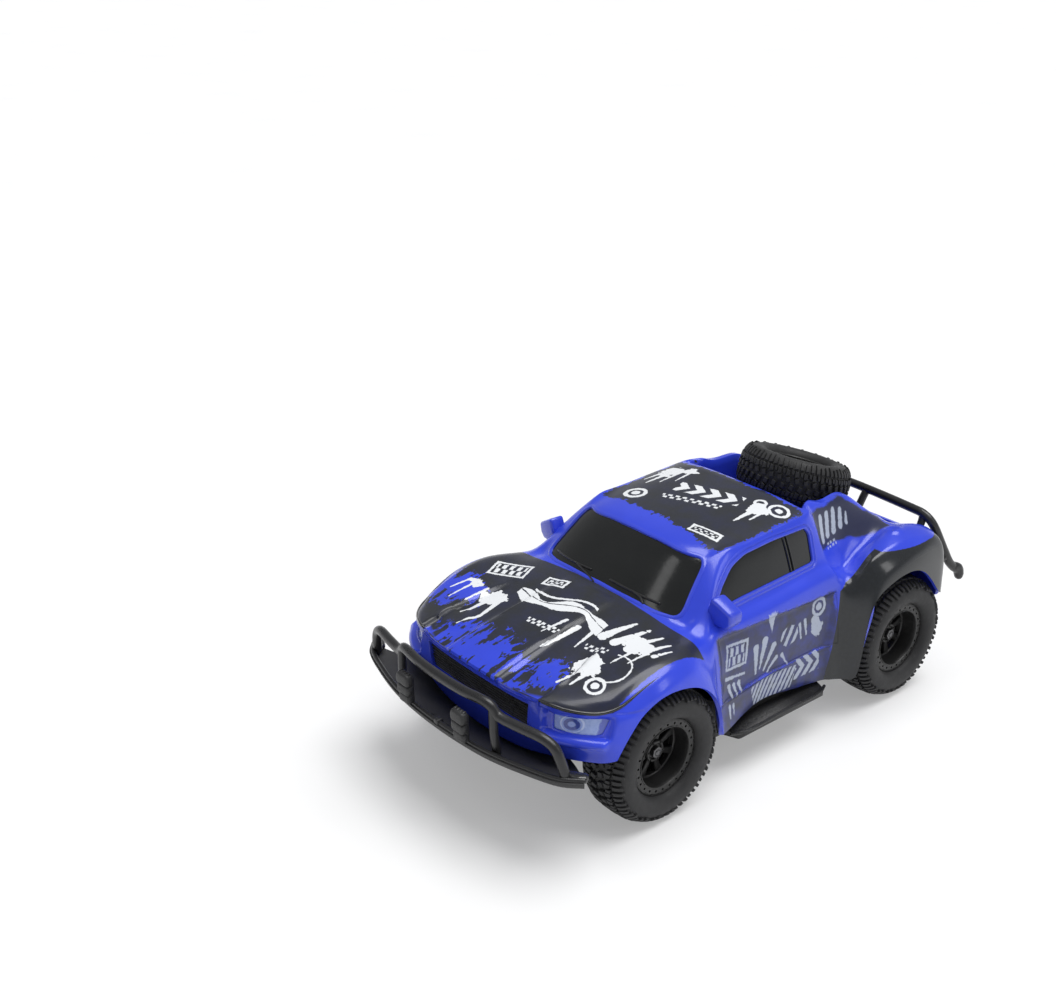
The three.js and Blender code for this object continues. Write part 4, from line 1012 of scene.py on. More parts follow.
def build_skin():
    """The smooth outer skin, one sheet without openings."""
    thing, target = cage()
    mod = thing.modifiers.new("round", "SUBSURF")
    mod.levels = SKIN_LEVELS
    mod.render_levels = SKIN_LEVELS
    mod.boundary_smooth = "PRESERVE_CORNERS"
    graph = bpy.context.evaluated_depsgraph_get()
    moved = target.copy()
    for _ in range(FIT_PASSES):
        # The smooth surface shrinks from its cage, so the cage is pushed out until it fits.
        write_points(thing.data, moved)
        graph.update()
        rounded = thing.evaluated_get(graph).to_mesh()
        moved += FIT_SHARE * (target - read_points(rounded)[:len(target)])
        thing.evaluated_get(graph).to_mesh_clear()
    write_points(thing.data, moved)
    apply_modifiers(thing)
    normals = np.empty(len(thing.data.vertices) * 3)
    thing.data.vertices.foreach_get("normal", normals)
    write_points(thing.data, sculpt(read_points(thing.data), normals.reshape(-1, 3)))
    return thing


skin = build_skin()
SKIN_TREE = BVHTree.FromPolygons(
    [v.co.copy() for v in skin.data.vertices], [tuple(p.vertices) for p in skin.data.polygons]
)


def on_skin(point, toward):
    """Where a ray from a millimetre point meets the skin: the place and the outward normal."""
    start = Vector(place(point))
    hit, normal, _, _ = SKIN_TREE.ray_cast(start, Vector(toward))
    if hit is None:
        hit, normal, _, _ = SKIN_TREE.find_nearest(start)
    if normal.dot(Vector(toward)) > 0:
        normal = -normal
    return unplace(hit), np.array(normal)


def rounded_outline(corners, radius, arc=6, spacing=2.0):
    """A closed outline with each corner rounded and straight runs divided."""
    corners = [np.array(c, float) for c in corners]
    result = []
    count = len(corners)
    for i in range(count):
        before, here, after = corners[i - 1], corners[i], corners[(i + 1) % count]
        into = (here - before) / np.linalg.norm(here - before)
        out = (after - here) / np.linalg.norm(after - here)
        reach = min(radius, 0.45 * np.linalg.norm(here - before), 0.45 * np.linalg.norm(after - here))
        start, end = here - into * reach, here + out * reach
        for t in np.linspace(0, 1, arc):
            result.append((1 - t) ** 2 * start + 2 * t * (1 - t) * here + t * t * end)
    dense = []
    for a, b in zip(result, result[1:] + result[:1]):
        steps = max(1, int(np.linalg.norm(b - a) / spacing))
        dense += [a + (b - a) * k / steps for k in range(steps)]
    return np.array(dense)


# Openings: the outline, its corner radius, the axis it is seen along and the way a ray goes in.
REARWARD = (0, 1, 0)
INWARD = (-1, 0, 0)
OPENINGS = {
    "windscreen": dict(
        outline=[(-42.8, 74.9), (-20, 77.2), (0, 77.9), (20, 77.2), (42.8, 74.9), (37.4, 94.8),
                 (16, 97.6), (0, 98.1), (-16, 97.6), (-37.4, 94.8)],
        radius=4.5, axis=1, toward=REARWARD),
    "side_window": dict(
        outline=[(-39.6, 76.4), (-20, 77.2), (29.2, 78.2), (30.6, 91.8), (28, 95.4), (6, 95.8),
                 (-13, 94.9), (-22, 92.2), (-32, 85.2)],
        radius=3.0, axis=0, toward=INWARD),
    "grille": dict(
        outline=[(-32.2, 46.6), (32.2, 46.6), (33.8, 60.2), (-33.8, 60.2)],
        radius=1.4, axis=1, toward=REARWARD),
    "headlamp": dict(
        outline=[(43.4, 51.9), (60.4, 51.7), (61.2, 59.2), (42.8, 59.4)],
        radius=1.6, axis=1, toward=REARWARD),
}
FAR_FRONT = -220
FAR_SIDE = 120


def laid_on_skin(spec, u, v):
    """The place and normal on the skin of a point of an opening's outline."""
    start = [u, FAR_FRONT, v] if spec["axis"] == 1 else [FAR_SIDE, u, v]
    return on_skin(start, spec["toward"])


def lifted_loop(spec, scale=1.0):
    """An opening's outline laid on the skin: places and normals, with the loop scaled about its middle."""
    loop = rounded_outline(spec["outline"], spec["radius"])
    centre = (loop.max(0) + loop.min(0)) / 2
    loop = centre + (loop - centre) * scale
    places, normals = zip(*(laid_on_skin(spec, u, v) for u, v in loop))
    return np.array(places), np.array(normals)


def inward(places, normals):
    """For each point of a closed loop on the skin, the direction into the opening."""
    along = np.roll(places, -1, 0) - np.roll(places, 1, 0)
    across = np.cross(normals, along)
    across /= np.linalg.norm(across, axis=1)[:, None]
    centre = places.mean(0)
    if np.sum(across * (centre - places)) < 0:
        across = -across
    return across


def rim_strip(name, spec, section, material):
    """A moulded rim round an opening. section is (inwards, outwards from the skin) pairs."""
    places, normals = lifted_loop(spec)
    for _ in range(2):
        normals = (np.roll(normals, 1, 0) + 2 * normals + np.roll(normals, -1, 0)) / 4
    normals /= np.linalg.norm(normals, axis=1)[:, None]
    across = inward(places, normals)
    points = [places + across * a + normals * h for a, h in section]
    points = np.stack(points, 1).reshape(-1, 3)
    thing = new_object(name, points, grid_faces(len(places), len(section), True, True), material, 40)
    return tidy_normals(thing)


def panel(name, spec, scale, depth, material, thickness=0.8, rings=12):
    """A closed sheet filling an opening, sunk below the skin by depth."""
    outline = rounded_outline(spec["outline"], spec["radius"])
    centre = (outline.max(0) + outline.min(0)) / 2
    facing = lifted_loop(spec, scale)[1].mean(0)
    facing /= np.linalg.norm(facing)
    points = []
    for k in range(rings, 0, -1):
        for u, v in centre + (outline - centre) * scale * k / rings:
            points.append(laid_on_skin(spec, u, v)[0] - facing * depth)
    points.append(laid_on_skin(spec, *centre)[0] - facing * depth)
    count = len(outline)
    faces = grid_faces(rings, count, loop_columns=True)
    innermost = (rings - 1) * count
    for i in range(count):
        faces.append((innermost + i, innermost + (i + 1) % count, rings * count))
    thing = new_object(name, points, faces, material)
    tidy_normals(thing)
    if sum((p.normal for p in thing.data.polygons), Vector()).dot(Vector(facing)) < 0:
        thing.data.flip_normals()
    thicken(thing, thickness)
    shade(thing, 40)
    return thing


ROOF_HALF_WIDTH = 37
NOSE_REACH = (-140, -98)
WINDSCREEN_REACH = (-66, -24)
SNAP_REACH = 2.6


def in_opening(name, spec, points):
    """Which millimetre points lie inside an opening, seen along its axis."""
    outline = [tuple(p) for p in rounded_outline(spec["outline"], spec["radius"])]
    x, y, z = points.T
    if spec["axis"] == 0:
        return (outline_depth(y, z, outline) > 0) & (np.abs(x) > ROOF_HALF_WIDTH)
    across = np.abs(x) if name == "headlamp" else x
    low, high = WINDSCREEN_REACH if name == "windscreen" else NOSE_REACH
    return (outline_depth(across, z, outline) > 0) & (y > low) & (y < high)


def nearest_on_loops(point, loops):
    """The closest place to a point on any of the closed loops."""
    best, place_found = 1e9, point
    for loop in loops:
        after = np.roll(loop, -1, 0)
        run = after - loop
        t = np.clip(np.sum((point - loop) * run, 1) / np.sum(run * run, 1).clip(1e-9), 0, 1)
        spots = loop + run * t[:, None]
        gaps = np.linalg.norm(spots - point, axis=1)
        if gaps.min() < best:
            best, place_found = gaps.min(), spots[gaps.argmin()]
    return best, place_found


def open_skin(thing):
    """Takes out the skin's faces inside the openings and draws the cut edge onto their outlines."""
    co = read_points(thing.data)
    mesh = bmesh.new()
    mesh.from_mesh(thing.data)
    middles = np.array([co[[v.index for v in face.verts]].mean(0) for face in mesh.faces])
    inside = np.zeros(len(middles), bool)
    loops = []
    for name, spec in OPENINGS.items():
        inside |= in_opening(name, spec, middles)
        loop = lifted_loop(spec)[0]
        loops.append(loop)
        if name in ("side_window", "headlamp"):
            loops.append(loop * [-1, 1, 1])
    doomed = [face for face, gone in zip(mesh.faces, inside) if gone]
    bmesh.ops.delete(mesh, geom=doomed, context="FACES")
    for vert in mesh.verts:
        if any(edge.is_boundary for edge in vert.link_edges):
            gap, spot = nearest_on_loops(unplace(vert.co), loops)
            if gap < SNAP_REACH:
                vert.co = place(spot)
    bmesh.ops.dissolve_degenerate(mesh, dist=1e-5, edges=mesh.edges)
    mesh.to_mesh(thing.data)
    mesh.free()


open_skin(skin)
skin.data.materials.append(MATERIALS["inside"])
thicken(skin, SHELL_WALL, inner_slot=1)
shade(skin, 38)

# Rim sections: (into the opening, out from the skin) pairs.
RAISED_RIM = [
    (-0.9, -0.5), (-0.7, 0.12), (-0.2, 0.3), (0.7, 0.3), (1.1, 0.1), (1.25, -0.3), (1.3, -1.3), (-0.6, -1.3),
]
STEPPED_RIM = [
    (-1.6, -0.5), (-1.4, 0.1), (-1.0, 0.24), (-0.5, 0.2), (-0.3, -0.05), (0.3, -0.05), (0.6, 0.2),
    (1.2, 0.2), (1.5, 0.0), (1.6, -0.4), (1.65, -1.3), (-0.6, -1.3),
]
SHARP_RIM = [
    (-0.5, -0.4), (-0.3, 0.08), (0.5, 0.08), (0.7, -0.1), (0.8, -2.4), (0.2, -2.6), (-0.3, -1.6),
]


def door_mirror():
    """Mirror housing: a rounded wedge on a foot at the corner of the side window."""
    outline = [(50.2, 72.6), (58.0, 72.8), (60.2, 75.6), (60.6, 80.4), (50.8, 85.9), (48.4, 79)]
    thing = prism("mirror", "y", -40.6, -32.4, outline, MATERIALS["blue"], 1.5, 4)
    co = read_points(thing.data)
    co[:, 1] += 0.12 * (co[:, 0] - 52) - 0.10 * (co[:, 2] - 79)
    write_points(thing.data, co)
    shade(thing, 50)
    return thing


def bonnet_lip():
    """The rolled edge of the bonnet over each headlamp, running back along the fender."""
    line = [
        (38.2, -124.4, 63.2), (46, -120.9, 62.7), (53.6, -115.2, 61.9), (58.6, -108.3, 61.2),
        (60.9, -101, 62.2), (61.4, -92, 64.9), (61.4, -82, 67.2),
    ]
    path = []
    for p in smooth_path(line, 8):
        spot, normal, _, _ = SKIN_TREE.find_nearest(Vector(place(p)))
        path.append(unplace(spot) - np.array(normal) * 0.25)
    last = len(path) - 1
    width = np.interp(np.arange(last + 1), [0, 4, last - 17, last], [0.5, 0.85, 0.8, 0.25])
    return sweep("lip", np.array(path), width, MATERIALS["gloss"], 12)


shell_pieces = [skin]
for opening, section, on_both_sides in (
    ("windscreen", RAISED_RIM, False),
    ("side_window", STEPPED_RIM, True),
    ("grille", SHARP_RIM, False),
    ("headlamp", SHARP_RIM, True),
):
    rim = rim_strip(opening + "_rim", OPENINGS[opening], section, MATERIALS["blue"])
    shell_pieces += with_mirror_image(rim) if on_both_sides else [rim]
shell_pieces += with_mirror_image(bonnet_lip())
shell_pieces += with_mirror_image(door_mirror())
stand_in(merged("shell_moulding", shell_pieces), "body_shell")


# ---------- windows, grille and lamps ----------


def strip_on_skin(name, points, toward, height, width, material):
    """A rounded rib along a path cast onto the skin, with its centre at a height above it."""
    path = []
    for start in smooth_path(points, 8):
        p, n = on_skin(start, toward)
        path.append(p + n * height)
    return sweep(name, np.array(path), width, material, 10)


def wiper(name, blade, arm):
    """Moulded wiper: a thin blade on the glass and the bent arm that holds it."""
    things = []
    for kind, line, height, width in (("", blade, -0.35, 0.55), ("_arm", arm, 0.1, 0.45)):
        points = [(x, FAR_FRONT, z) for x, z in line]
        things.append(strip_on_skin(name + kind, points, REARWARD, height, width, MATERIALS["satin"]))
    return things


def windscreen():
    """The windscreen with its two moulded wipers."""
    things = [panel("windscreen_glass", OPENINGS["windscreen"], 0.985, 0.65, MATERIALS["glass"], 0.8, 16)]
    things += wiper(
        "wiper_a", [(-35.5, 78.6), (-22, 79.5), (-9, 80.4)], [(-19, 79.8), (-11, 78.9), (-3, 77.6)])
    things += wiper(
        "wiper_b", [(4, 80.4), (18, 79.8), (31, 78.9)], [(17, 79.9), (22.5, 78.8), (25, 77.4)])
    return merged("windscreen_panel", things)


def side_window():
    """The left side window with the two ribs of its pillar."""
    things = [panel("side_glass", OPENINGS["side_window"], 0.98, 0.75, MATERIALS["glass"], 0.7, 12)]
    for y in (13.2, 15.2):
        points = [(FAR_SIDE, y, 77.6), (FAR_SIDE, y, 86), (FAR_SIDE, y - 0.4, 94.6)]
        things.append(strip_on_skin("pillar", points, INWARD, -0.6, 0.5, MATERIALS["glass"]))
    return merged("side_window_panel_left", things)


def behind_skin(x, z, depth):
    """A point of the nose, at a depth behind the skin."""
    p, n = on_skin([x, FAR_FRONT, z], REARWARD)
    return p - n * depth


def grille():
    """A dark backing with fine louvres broken by short uprights."""
    things = [panel("grille_back", OPENINGS["grille"], 0.985, 2.6, MATERIALS["mesh"], 0.8, 6)]
    low, height, half_low, flare = 46.6, 13.6, 31.6, 1.5
    steps = np.arange(19)
    for i in range(10):
        z = low + 0.9 + i * 1.34
        half = half_low + flare * (z - low) / height
        path = np.array([behind_skin(x, z, 1.5) for x in np.linspace(-half, half, len(steps))])
        path[:, 2] += 0.14 * np.sin(steps * 2.4 + i)
        wave = 0.40 + 0.12 * np.sin(steps * 1.9 + i * 2.1)
        things.append(sweep("louvre", path, wave, MATERIALS["mesh"], 6, False))
    for x in np.linspace(-29.8, 31.0, 27):
        for start, end in ((47.2, 52.0), (51.6, 56.4), (55.6, 59.8)):
            path = [behind_skin(x, z, 1.7) for z in (start, (start + end) / 2, end)]
            things.append(sweep("upright", path, 0.26, MATERIALS["mesh"], 5, False))
    return merged("grille_mesh", things)


stand_in(windscreen(), "windshield")
stand_in_pair(side_window(), "side_window")
stand_in(grille(), "grille_insert")
lamp = panel("headlamp_left", OPENINGS["headlamp"], 0.97, 0.7, MATERIALS["lamp"], 0.8, 6)
stand_in_pair(lamp, "headlight_lens")


# ---------- wheels ----------

TREAD_PITCHES = 40
SHOULDER_LUGS = 63
TREAD_RADIUS = 28.5
TREAD_MIDDLE_X = 54.5
SPOKES = 8
SPARE_TILT = 18
SPARE_SCALE = 0.9

# Profiles of turned pieces are (radius, x) pairs, with x measured from the car's middle.
TYRE_PROFILE = [
    (17.2, 61.0), (17.3, 63.2), (17.9, 64.7), (19.0, 65.9), (20.6, 66.55), (23.0, 66.7), (25.2, 66.0),
    (26.8, 64.4), (27.9, 62.2), (28.35, 59.4), (28.5, 54.5), (28.35, 49.6), (27.9, 46.8), (26.8, 44.6),
    (25.2, 43.0), (23.0, 42.4), (20.6, 42.5), (18.8, 43.1), (17.4, 44.0),
]
TYRE_INSIDE = [(16.7, 44.6), (16.7, 60.6)]
BARREL_PROFILE = [
    (15.4, 44.2), (16.3, 44.2), (16.5, 44.8), (16.5, 60.9), (17.15, 61.5), (17.2, 63.0), (17.0, 63.4),
    (16.5, 63.55), (16.5, 62.0), (13.9, 62.0), (13.9, 63.55), (13.55, 63.45), (13.35, 63.1), (13.2, 61.6),
    (12.9, 59.0), (12.8, 56.2), (13.3, 55.8), (13.3, 53.2), (14.6, 52.6), (15.0, 50),
]
HUB_PROFILE = [
    (0.02, 56.6), (3.1, 56.6), (3.4, 56.8), (3.5, 57.5), (3.8, 57.8), (4.5, 57.7), (4.8, 57.3),
    (4.9, 56.4), (4.8, 55.5), (4.6, 53.6), (4.2, 53.2), (0.02, 53.2),
]
SPOKE_RING_PROFILE = [(13.4, 56.2), (13.4, 53.4), (12.3, 53.4), (12.0, 53.8), (12.0, 55.8), (12.4, 56.2)]
NUT_CAP_PROFILE = [(0.02, 59.6), (0.8, 59.55), (1.35, 59.3), (1.5, 59.0), (1.5, 58.4), (0.02, 58.4)]
SPARE_DISH_PROFILE = [
    (4.0, 52.6), (16.4, 47.0), (16.4, 61.2), (17.2, 61.6), (17.2, 63.2), (16.8, 63.5), (14.4, 63.5),
    (14.1, 63.1), (14.3, 58.0), (14.2, 50.2), (13.6, 49.6), (5.2, 53.6), (4.9, 55.4), (4.0, 55.4),
]

# Half of the tread: (height, corners), each corner an (arc length from the crown, distance round).
TREAD_BLOCKS = [
    (1.45, [(3.4, -1.6), (6.9, -1.9), (6.5, -0.1), (4.2, 0.5)]),
    (1.35, [(4.7, 1.1), (6.9, 0.8), (6.7, 2.3), (4.4, 2.4)]),
    (1.5, [(0.3, -0.6), (2.8, -1.2), (3.6, 0.9), (0.9, 1.4)]),
]


def profile_at(curve, lengths, t):
    """Point and outward normal of a [radius, x] curve at arc length t."""
    r = np.interp(t, lengths, curve[:, 0])
    x = np.interp(t, lengths, curve[:, 1])
    dr = np.interp(t + 0.2, lengths, curve[:, 0]) - np.interp(t - 0.2, lengths, curve[:, 0])
    dx = np.interp(t + 0.2, lengths, curve[:, 1]) - np.interp(t - 0.2, lengths, curve[:, 1])
    size = math.hypot(dr, dx) or 1.0
    return r, x, -dx / size, dr / size


def tread_block(curve, lengths, corners, height, angle, steps):
    """One tread block: corners are four (arc length, distance round) pairs."""
    a, b, c, d = [np.array(p, float) for p in corners]
    rings = []
    for level, shrink in ((-0.5, 1.0), (height - 0.25, 0.97), (height, 0.86)):
        ring_points = []
        centre = (a + b + c + d) / 4
        edge = []
        for p, q in ((a, b), (b, c), (c, d), (d, a)):
            edge += [p + (q - p) * k / steps for k in range(steps)]
        for t, s in edge:
            t = centre[0] + (t - centre[0]) * shrink
            s = centre[1] + (s - centre[1]) * shrink
            r, x, nr, nx = profile_at(curve, lengths, t)
            turn = angle + s / TREAD_RADIUS
            radius = r + nr * level
            ring_points.append([x + nx * level, radius * math.cos(turn), radius * math.sin(turn)])
        rings.append(ring_points)
    count = 4 * steps
    points = [p for ring_points in rings for p in ring_points]
    faces = grid_faces(len(rings), count, loop_columns=True)
    # The top is four-sided strips from the first edge to the third, so it follows the tyre's curve.
    top = 2 * count
    third = [top + 3 * steps - k for k in range(steps + 1)]
    first = [top + k for k in range(steps + 1)]
    for k in range(steps):
        faces.append((first[k], first[k + 1], third[k + 1], third[k]))
    return points, faces


def tyre_mesh(name):
    """Smooth carcass with a moulded bead line, staggered middle blocks and shoulder lugs."""
    curve = smooth_path(TYRE_PROFILE, 4)
    lengths = np.concatenate([[0], np.cumsum(np.linalg.norm(np.diff(curve, axis=0), axis=1))])
    carcass = lathe(name, np.vstack([curve, TYRE_INSIDE]), MATERIALS["rubber"], 120, 45)
    points, faces = [], []

    def add(corners, side, height, angle, steps):
        base = len(points)
        corners = [(crown + side * t, s) for t, s in corners]
        p, f = tread_block(curve, lengths, corners, height, angle, steps)
        points.extend(p)
        faces.extend(tuple(base + i for i in face) for face in f)

    # The crown is where the tread part of the curve, without its bead ends, crosses the middle.
    crown = float(np.interp(TREAD_MIDDLE_X, curve[::-1, 1][8:-8], lengths[::-1][8:-8]))
    pitch = 2 * math.pi / SHOULDER_LUGS
    for i in range(SHOULDER_LUGS):
        reach = (12.4, 11.2, 11.9)[i % 3]
        for side in (1, -1):
            lean = 0.25 * side
            lug = [(7.4, -0.95), (reach, -0.75 + lean), (reach, 0.75 + lean), (7.8, 0.95)]
            add(lug, side, 1.15, i * pitch, 3)
    pitch = 2 * math.pi / TREAD_PITCHES
    for i in range(TREAD_PITCHES):
        for side, stagger in ((1, 0), (-1, 0.5)):
            for height, corners in TREAD_BLOCKS:
                add(corners, side, height, (i + stagger) * pitch, 2)
    lugs = tidy_normals(new_object(name + "_lugs", points, faces, MATERIALS["rubber"], 30))
    return merged(name, [carcass, lugs])


def holed_ring(name, inner, outer, face_x, holes, hole_radius, depth, material):
    """A flat ring with round blind holes. The edge of each sector is stitched to its hole."""
    points, faces = [], []
    around = 16
    mid, half_r = (inner + outer) / 2, (outer - inner) / 2
    half_a = math.pi / holes
    for i in range(holes):
        base = len(points)
        centre = (i + 0.5) * 2 * half_a
        for k in range(around):
            phi = 2 * math.pi * (k + 0.5) / around
            c, s = math.cos(phi), math.sin(phi)
            size = max(abs(c), abs(s))
            a = centre + half_a * c / size
            r = mid + half_r * s / size
            points.append([face_x, r * math.cos(a), r * math.sin(a)])
        for level in (face_x, face_x - depth):
            for k in range(around):
                phi = 2 * math.pi * (k + 0.5) / around
                a = centre + hole_radius * math.cos(phi) / mid
                r = mid + hole_radius * math.sin(phi)
                points.append([level, r * math.cos(a), r * math.sin(a)])
        for ring_index in range(2):
            for k in range(around):
                j = (k + 1) % around
                a, b = base + ring_index * around, base + (ring_index + 1) * around
                faces.append((a + k, a + j, b + j, b + k))
        faces.append(tuple(base + 2 * around + k for k in range(around)))
    thing = new_object(name, points, faces, material, 30)
    return tidy_normals(thing)


def spoke(turn):
    """One spoke: sections from hub to ring, each flat behind with its front edges taken off."""
    # Each section has its radius, half width, front level and back level.
    sections = (
        (4.3, 1.2, 56.4, 53.8), (7.0, 1.3, 56.2, 53.8), (10.0, 1.55, 56.0, 53.7), (12.6, 2.0, 56.0, 53.6),
    )
    corners = []
    for radius, half, front, back in sections:
        right = [(-half, back), (-half, front - 0.35), (-half * 0.55, front)]
        left = [(-s, level) for s, level in reversed(right)]
        for s, level in right + left:
            y = radius * math.cos(turn) - s * math.sin(turn)
            z = radius * math.sin(turn) + s * math.cos(turn)
            corners.append([level, y, z])
    ring_size = 6
    count = len(corners)
    faces = grid_faces(len(sections), ring_size, loop_columns=True)
    faces += [tuple(range(ring_size)), tuple(range(count - ring_size, count))]
    return tidy_normals(block("spoke", corners, faces, MATERIALS["rim"], 0.22, 2))


def rim_mesh(name):
    """Deep dished rim: barrel, bead ring with bolt holes, eight spokes and a ringed hub."""
    material = MATERIALS["rim"]
    things = [
        lathe(name, BARREL_PROFILE, material, 96, 30),
        holed_ring("bolt_ring", 13.85, 16.55, 63.3, 24, 0.56, 1.1, material),
        lathe("hub", HUB_PROFILE, material, 48, 30),
        lathe("spoke_ring", SPOKE_RING_PROFILE, material, 96, 30),
    ]
    things += [spoke(2 * math.pi * i / SPOKES) for i in range(SPOKES)]
    studs = 6
    for i in range(studs):
        turn = 2 * math.pi * (i + 0.5) / studs
        centre = np.array([57.65, 4.1 * math.cos(turn), 4.1 * math.sin(turn)])
        things.append(sweep("stud", [centre - [0.5, 0, 0], centre + [0.12, 0, 0]], 0.42, material, 8))
    return merged(name, things)


def nut_mesh(name):
    """Flanged wheel nut with a domed top over the stub axle's end."""
    outline = [(2.75 * math.cos(a), 2.75 * math.sin(a)) for a in np.arange(6) * math.pi / 3]
    body = prism(name, "x", 57.0, 59.0, outline, MATERIALS["dark_steel"], 0.3, 2)
    cap = lathe("cap", NUT_CAP_PROFILE, MATERIALS["dark_steel"], 24, 40)
    return merged(name, [body, cap])


def add_wheels():
    """Four wheels on their bodies, and the spare in the bed."""
    patterns = {"tyre": tyre_mesh("tyre"), "rim": rim_mesh("rim"), "wheel_nut": nut_mesh("wheel_nut")}
    for pattern in patterns.values():
        about_axle(pattern)
    # The front and rear wheels are turned by different amounts, so that their treads don't line up.
    for end, y, spin in (("front", FRONT_HUB.y, 0.35), ("rear", REAR_HUB.y, 1.0)):
        move = Matrix.Translation((0, y, AXLE_Z * 0.001)) @ Matrix.Rotation(spin, 4, "X")
        for side in ("left", "right"):
            for kind, pattern in patterns.items():
                node = f"{kind}_{end}_{side}"
                piece = copy_of(pattern, node + "_look", move, side == "right")
                body = "rear_axle_set"
                if end == "front":
                    body = f"knuckle_set_{side}" if kind == "wheel_nut" else f"wheel_front_{side}"
                stand_in(piece, node, body)
    # The spare lies in the bed, open face up and to the rear.
    low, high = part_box("spare_tyre")
    lay = (
        Matrix.Translation((0, (low.y + high.y) / 2, (low.z + high.z) / 2))
        @ Matrix.Rotation(-math.radians(SPARE_TILT), 4, "X")
        @ Matrix.Rotation(-math.pi / 2, 4, "Y")
        @ Matrix.Scale(SPARE_SCALE, 4)
        @ Matrix.Translation((-TREAD_MIDDLE_X * 0.001, 0, 0))
    )
    stand_in(copy_of(patterns["tyre"], "spare_tyre_look", lay), "spare_tyre")
    dish = lathe("spare_rim_look", SPARE_DISH_PROFILE, MATERIALS["rim"], 72, 30)
    about_axle(dish)
    dish.data.transform(lay)
    stand_in(dish, "spare_rim")
    for pattern in patterns.values():
        bpy.data.objects.remove(pattern)


add_wheels()


# ---------- bumpers, fog lamps and steps ----------

BAR_RADIUS = 2.15
BULL_BAR = [
    (0, -143.2, 64.5), (15, -142.6, 64.5), (26.5, -140.8, 64.4), (29.6, -139.9, 63.2), (32.2, -139.0, 60.2),
    (35.5, -138.2, 59.3), (45, -136.4, 59), (54.5, -134.2, 58.4), (58.8, -132.9, 56.2), (61, -132.2, 52.6),
    (63.4, -130.8, 44.2),
]
PLATE_EDGE = [(0, -143.5), (16, -143), (31.6, -141.4), (50, -137), (63, -132.5), (69.5, -126.8)]
PLATE_WALL = 1.7

# Rows of the skid plate from its root to its rolled edge: share of the edge's width, share of the
# way from the root line to the edge, height at the centre, and how far the ends rise.
PLATE_ROOT_Y = -112
PLATE_ROWS = [
    (0.72, 0.2, 29.8, 5), (0.86, 0.55, 35.5, 2.6), (0.95, 0.85, 39.6, 1), (1, 1, 41.3, 1),
]
REAR_BAR = [
    (0, 111, 80.6), (42, 108.8, 80.2), (47.5, 108.4, 79.9), (51.2, 108.4, 78.4), (53.8, 109.2, 75.5),
    (57.4, 115, 62), (58.6, 119, 54.8), (59.4, 122.2, 51.4), (60, 124.6, 49.4), (60.4, 126, 46.2),
]


def mirrored_where(side, points):
    """Points of the +X side, mirrored to the other when side is -1."""
    return [(side * p[0], *p[1:]) for p in points]


def skid_plate():
    """The upturned plate under the bull bar, and the line of its rolled edge."""
    x, y = np.array(PLATE_EDGE).T
    rise = 1.4 * (x / 70) ** 2
    rows = [np.stack([0.62 * x, np.full(len(x), -112.5), 27 + 6.4 * rise], 1)]
    for width, reach, height, lift in PLATE_ROWS:
        rows.append(np.stack([width * x, y * reach + PLATE_ROOT_Y * (1 - reach), height + lift * rise], 1))
    rows.append(np.stack([1.005 * x, y - 0.7, 43.2 + rise], 1))
    grid = np.array([smooth_path(both_halves(row), 4) for row in rows])
    grid = np.stack([smooth_path(grid[:, c], 4) for c in range(grid.shape[1])], 1)
    plate = new_object("plate", grid.reshape(-1, 3), grid_faces(*grid.shape[:2]), MATERIALS["matte"])
    thicken(plate, PLATE_WALL, offset=1)
    shade(plate, 40)
    return plate, grid[-1]


def front_bumper():
    """Bull bar with two struts on an upturned skid plate with a rolled edge."""
    satin = MATERIALS["satin"]
    matte = MATERIALS["matte"]
    things = [sweep("bar", smooth_path(both_halves(BULL_BAR), 5), BAR_RADIUS, satin, 18)]
    strut = [(30.4, -139.9, 62.6), (30.9, -139.8, 52), (31.4, -138.9, 42.4)]
    foot = [(63.4, -130.8, 44.0), (64.4, -129.6, 43.2), (68.6, -126.6, 44.2)]
    foot_radii = [1.9] * 4 + [1.7] * 4 + [1.5]
    for side in (1, -1):
        things.append(sweep("strut", smooth_path(mirrored_where(side, strut), 5), 1.85, satin, 14))
        things.append(sweep("foot", smooth_path(mirrored_where(side, foot), 4), foot_radii, satin, 14))
    plate, rolled_edge = skid_plate()
    things += [plate, sweep("lip", rolled_edge + [0, 0, 0.1], 1.05, satin, 12)]
    tab = [(62.2, -131.6), (68.4, -129.4), (71.0, -126.6), (68.6, -123.4), (62.4, -127.2)]
    for side in (1, -1):
        things.append(prism("tab", "z", 43.0, 46.0, mirrored_where(side, tab), MATERIALS["gloss"], 1.2, 3))
    notch = [(-1.6, 42.2), (1.6, 42.2), (1.2, 44.9), (-1.2, 44.9)]
    things.append(prism("notch", "y", -145.6, -142.4, notch, satin, 0.4, 2))
    rib = [(-113.4, 27.4), (-113.4, 28.6), (-128, 34.2), (-140, 40.6), (-140, 39.2)]
    for x in (-10.5, 0, 10.5):
        things.append(prism("rib", "x", x - 0.5, x + 0.5, rib, matte, 0.15, 1))
    tongue = [(-15.6, -115.6), (15.6, -115.6), (15.6, -109), (-15.6, -109)]
    things.append(prism("tongue", "z", 24.6, 27.2, tongue, matte, 0.4, 2))
    return merged("bull_bar", things)


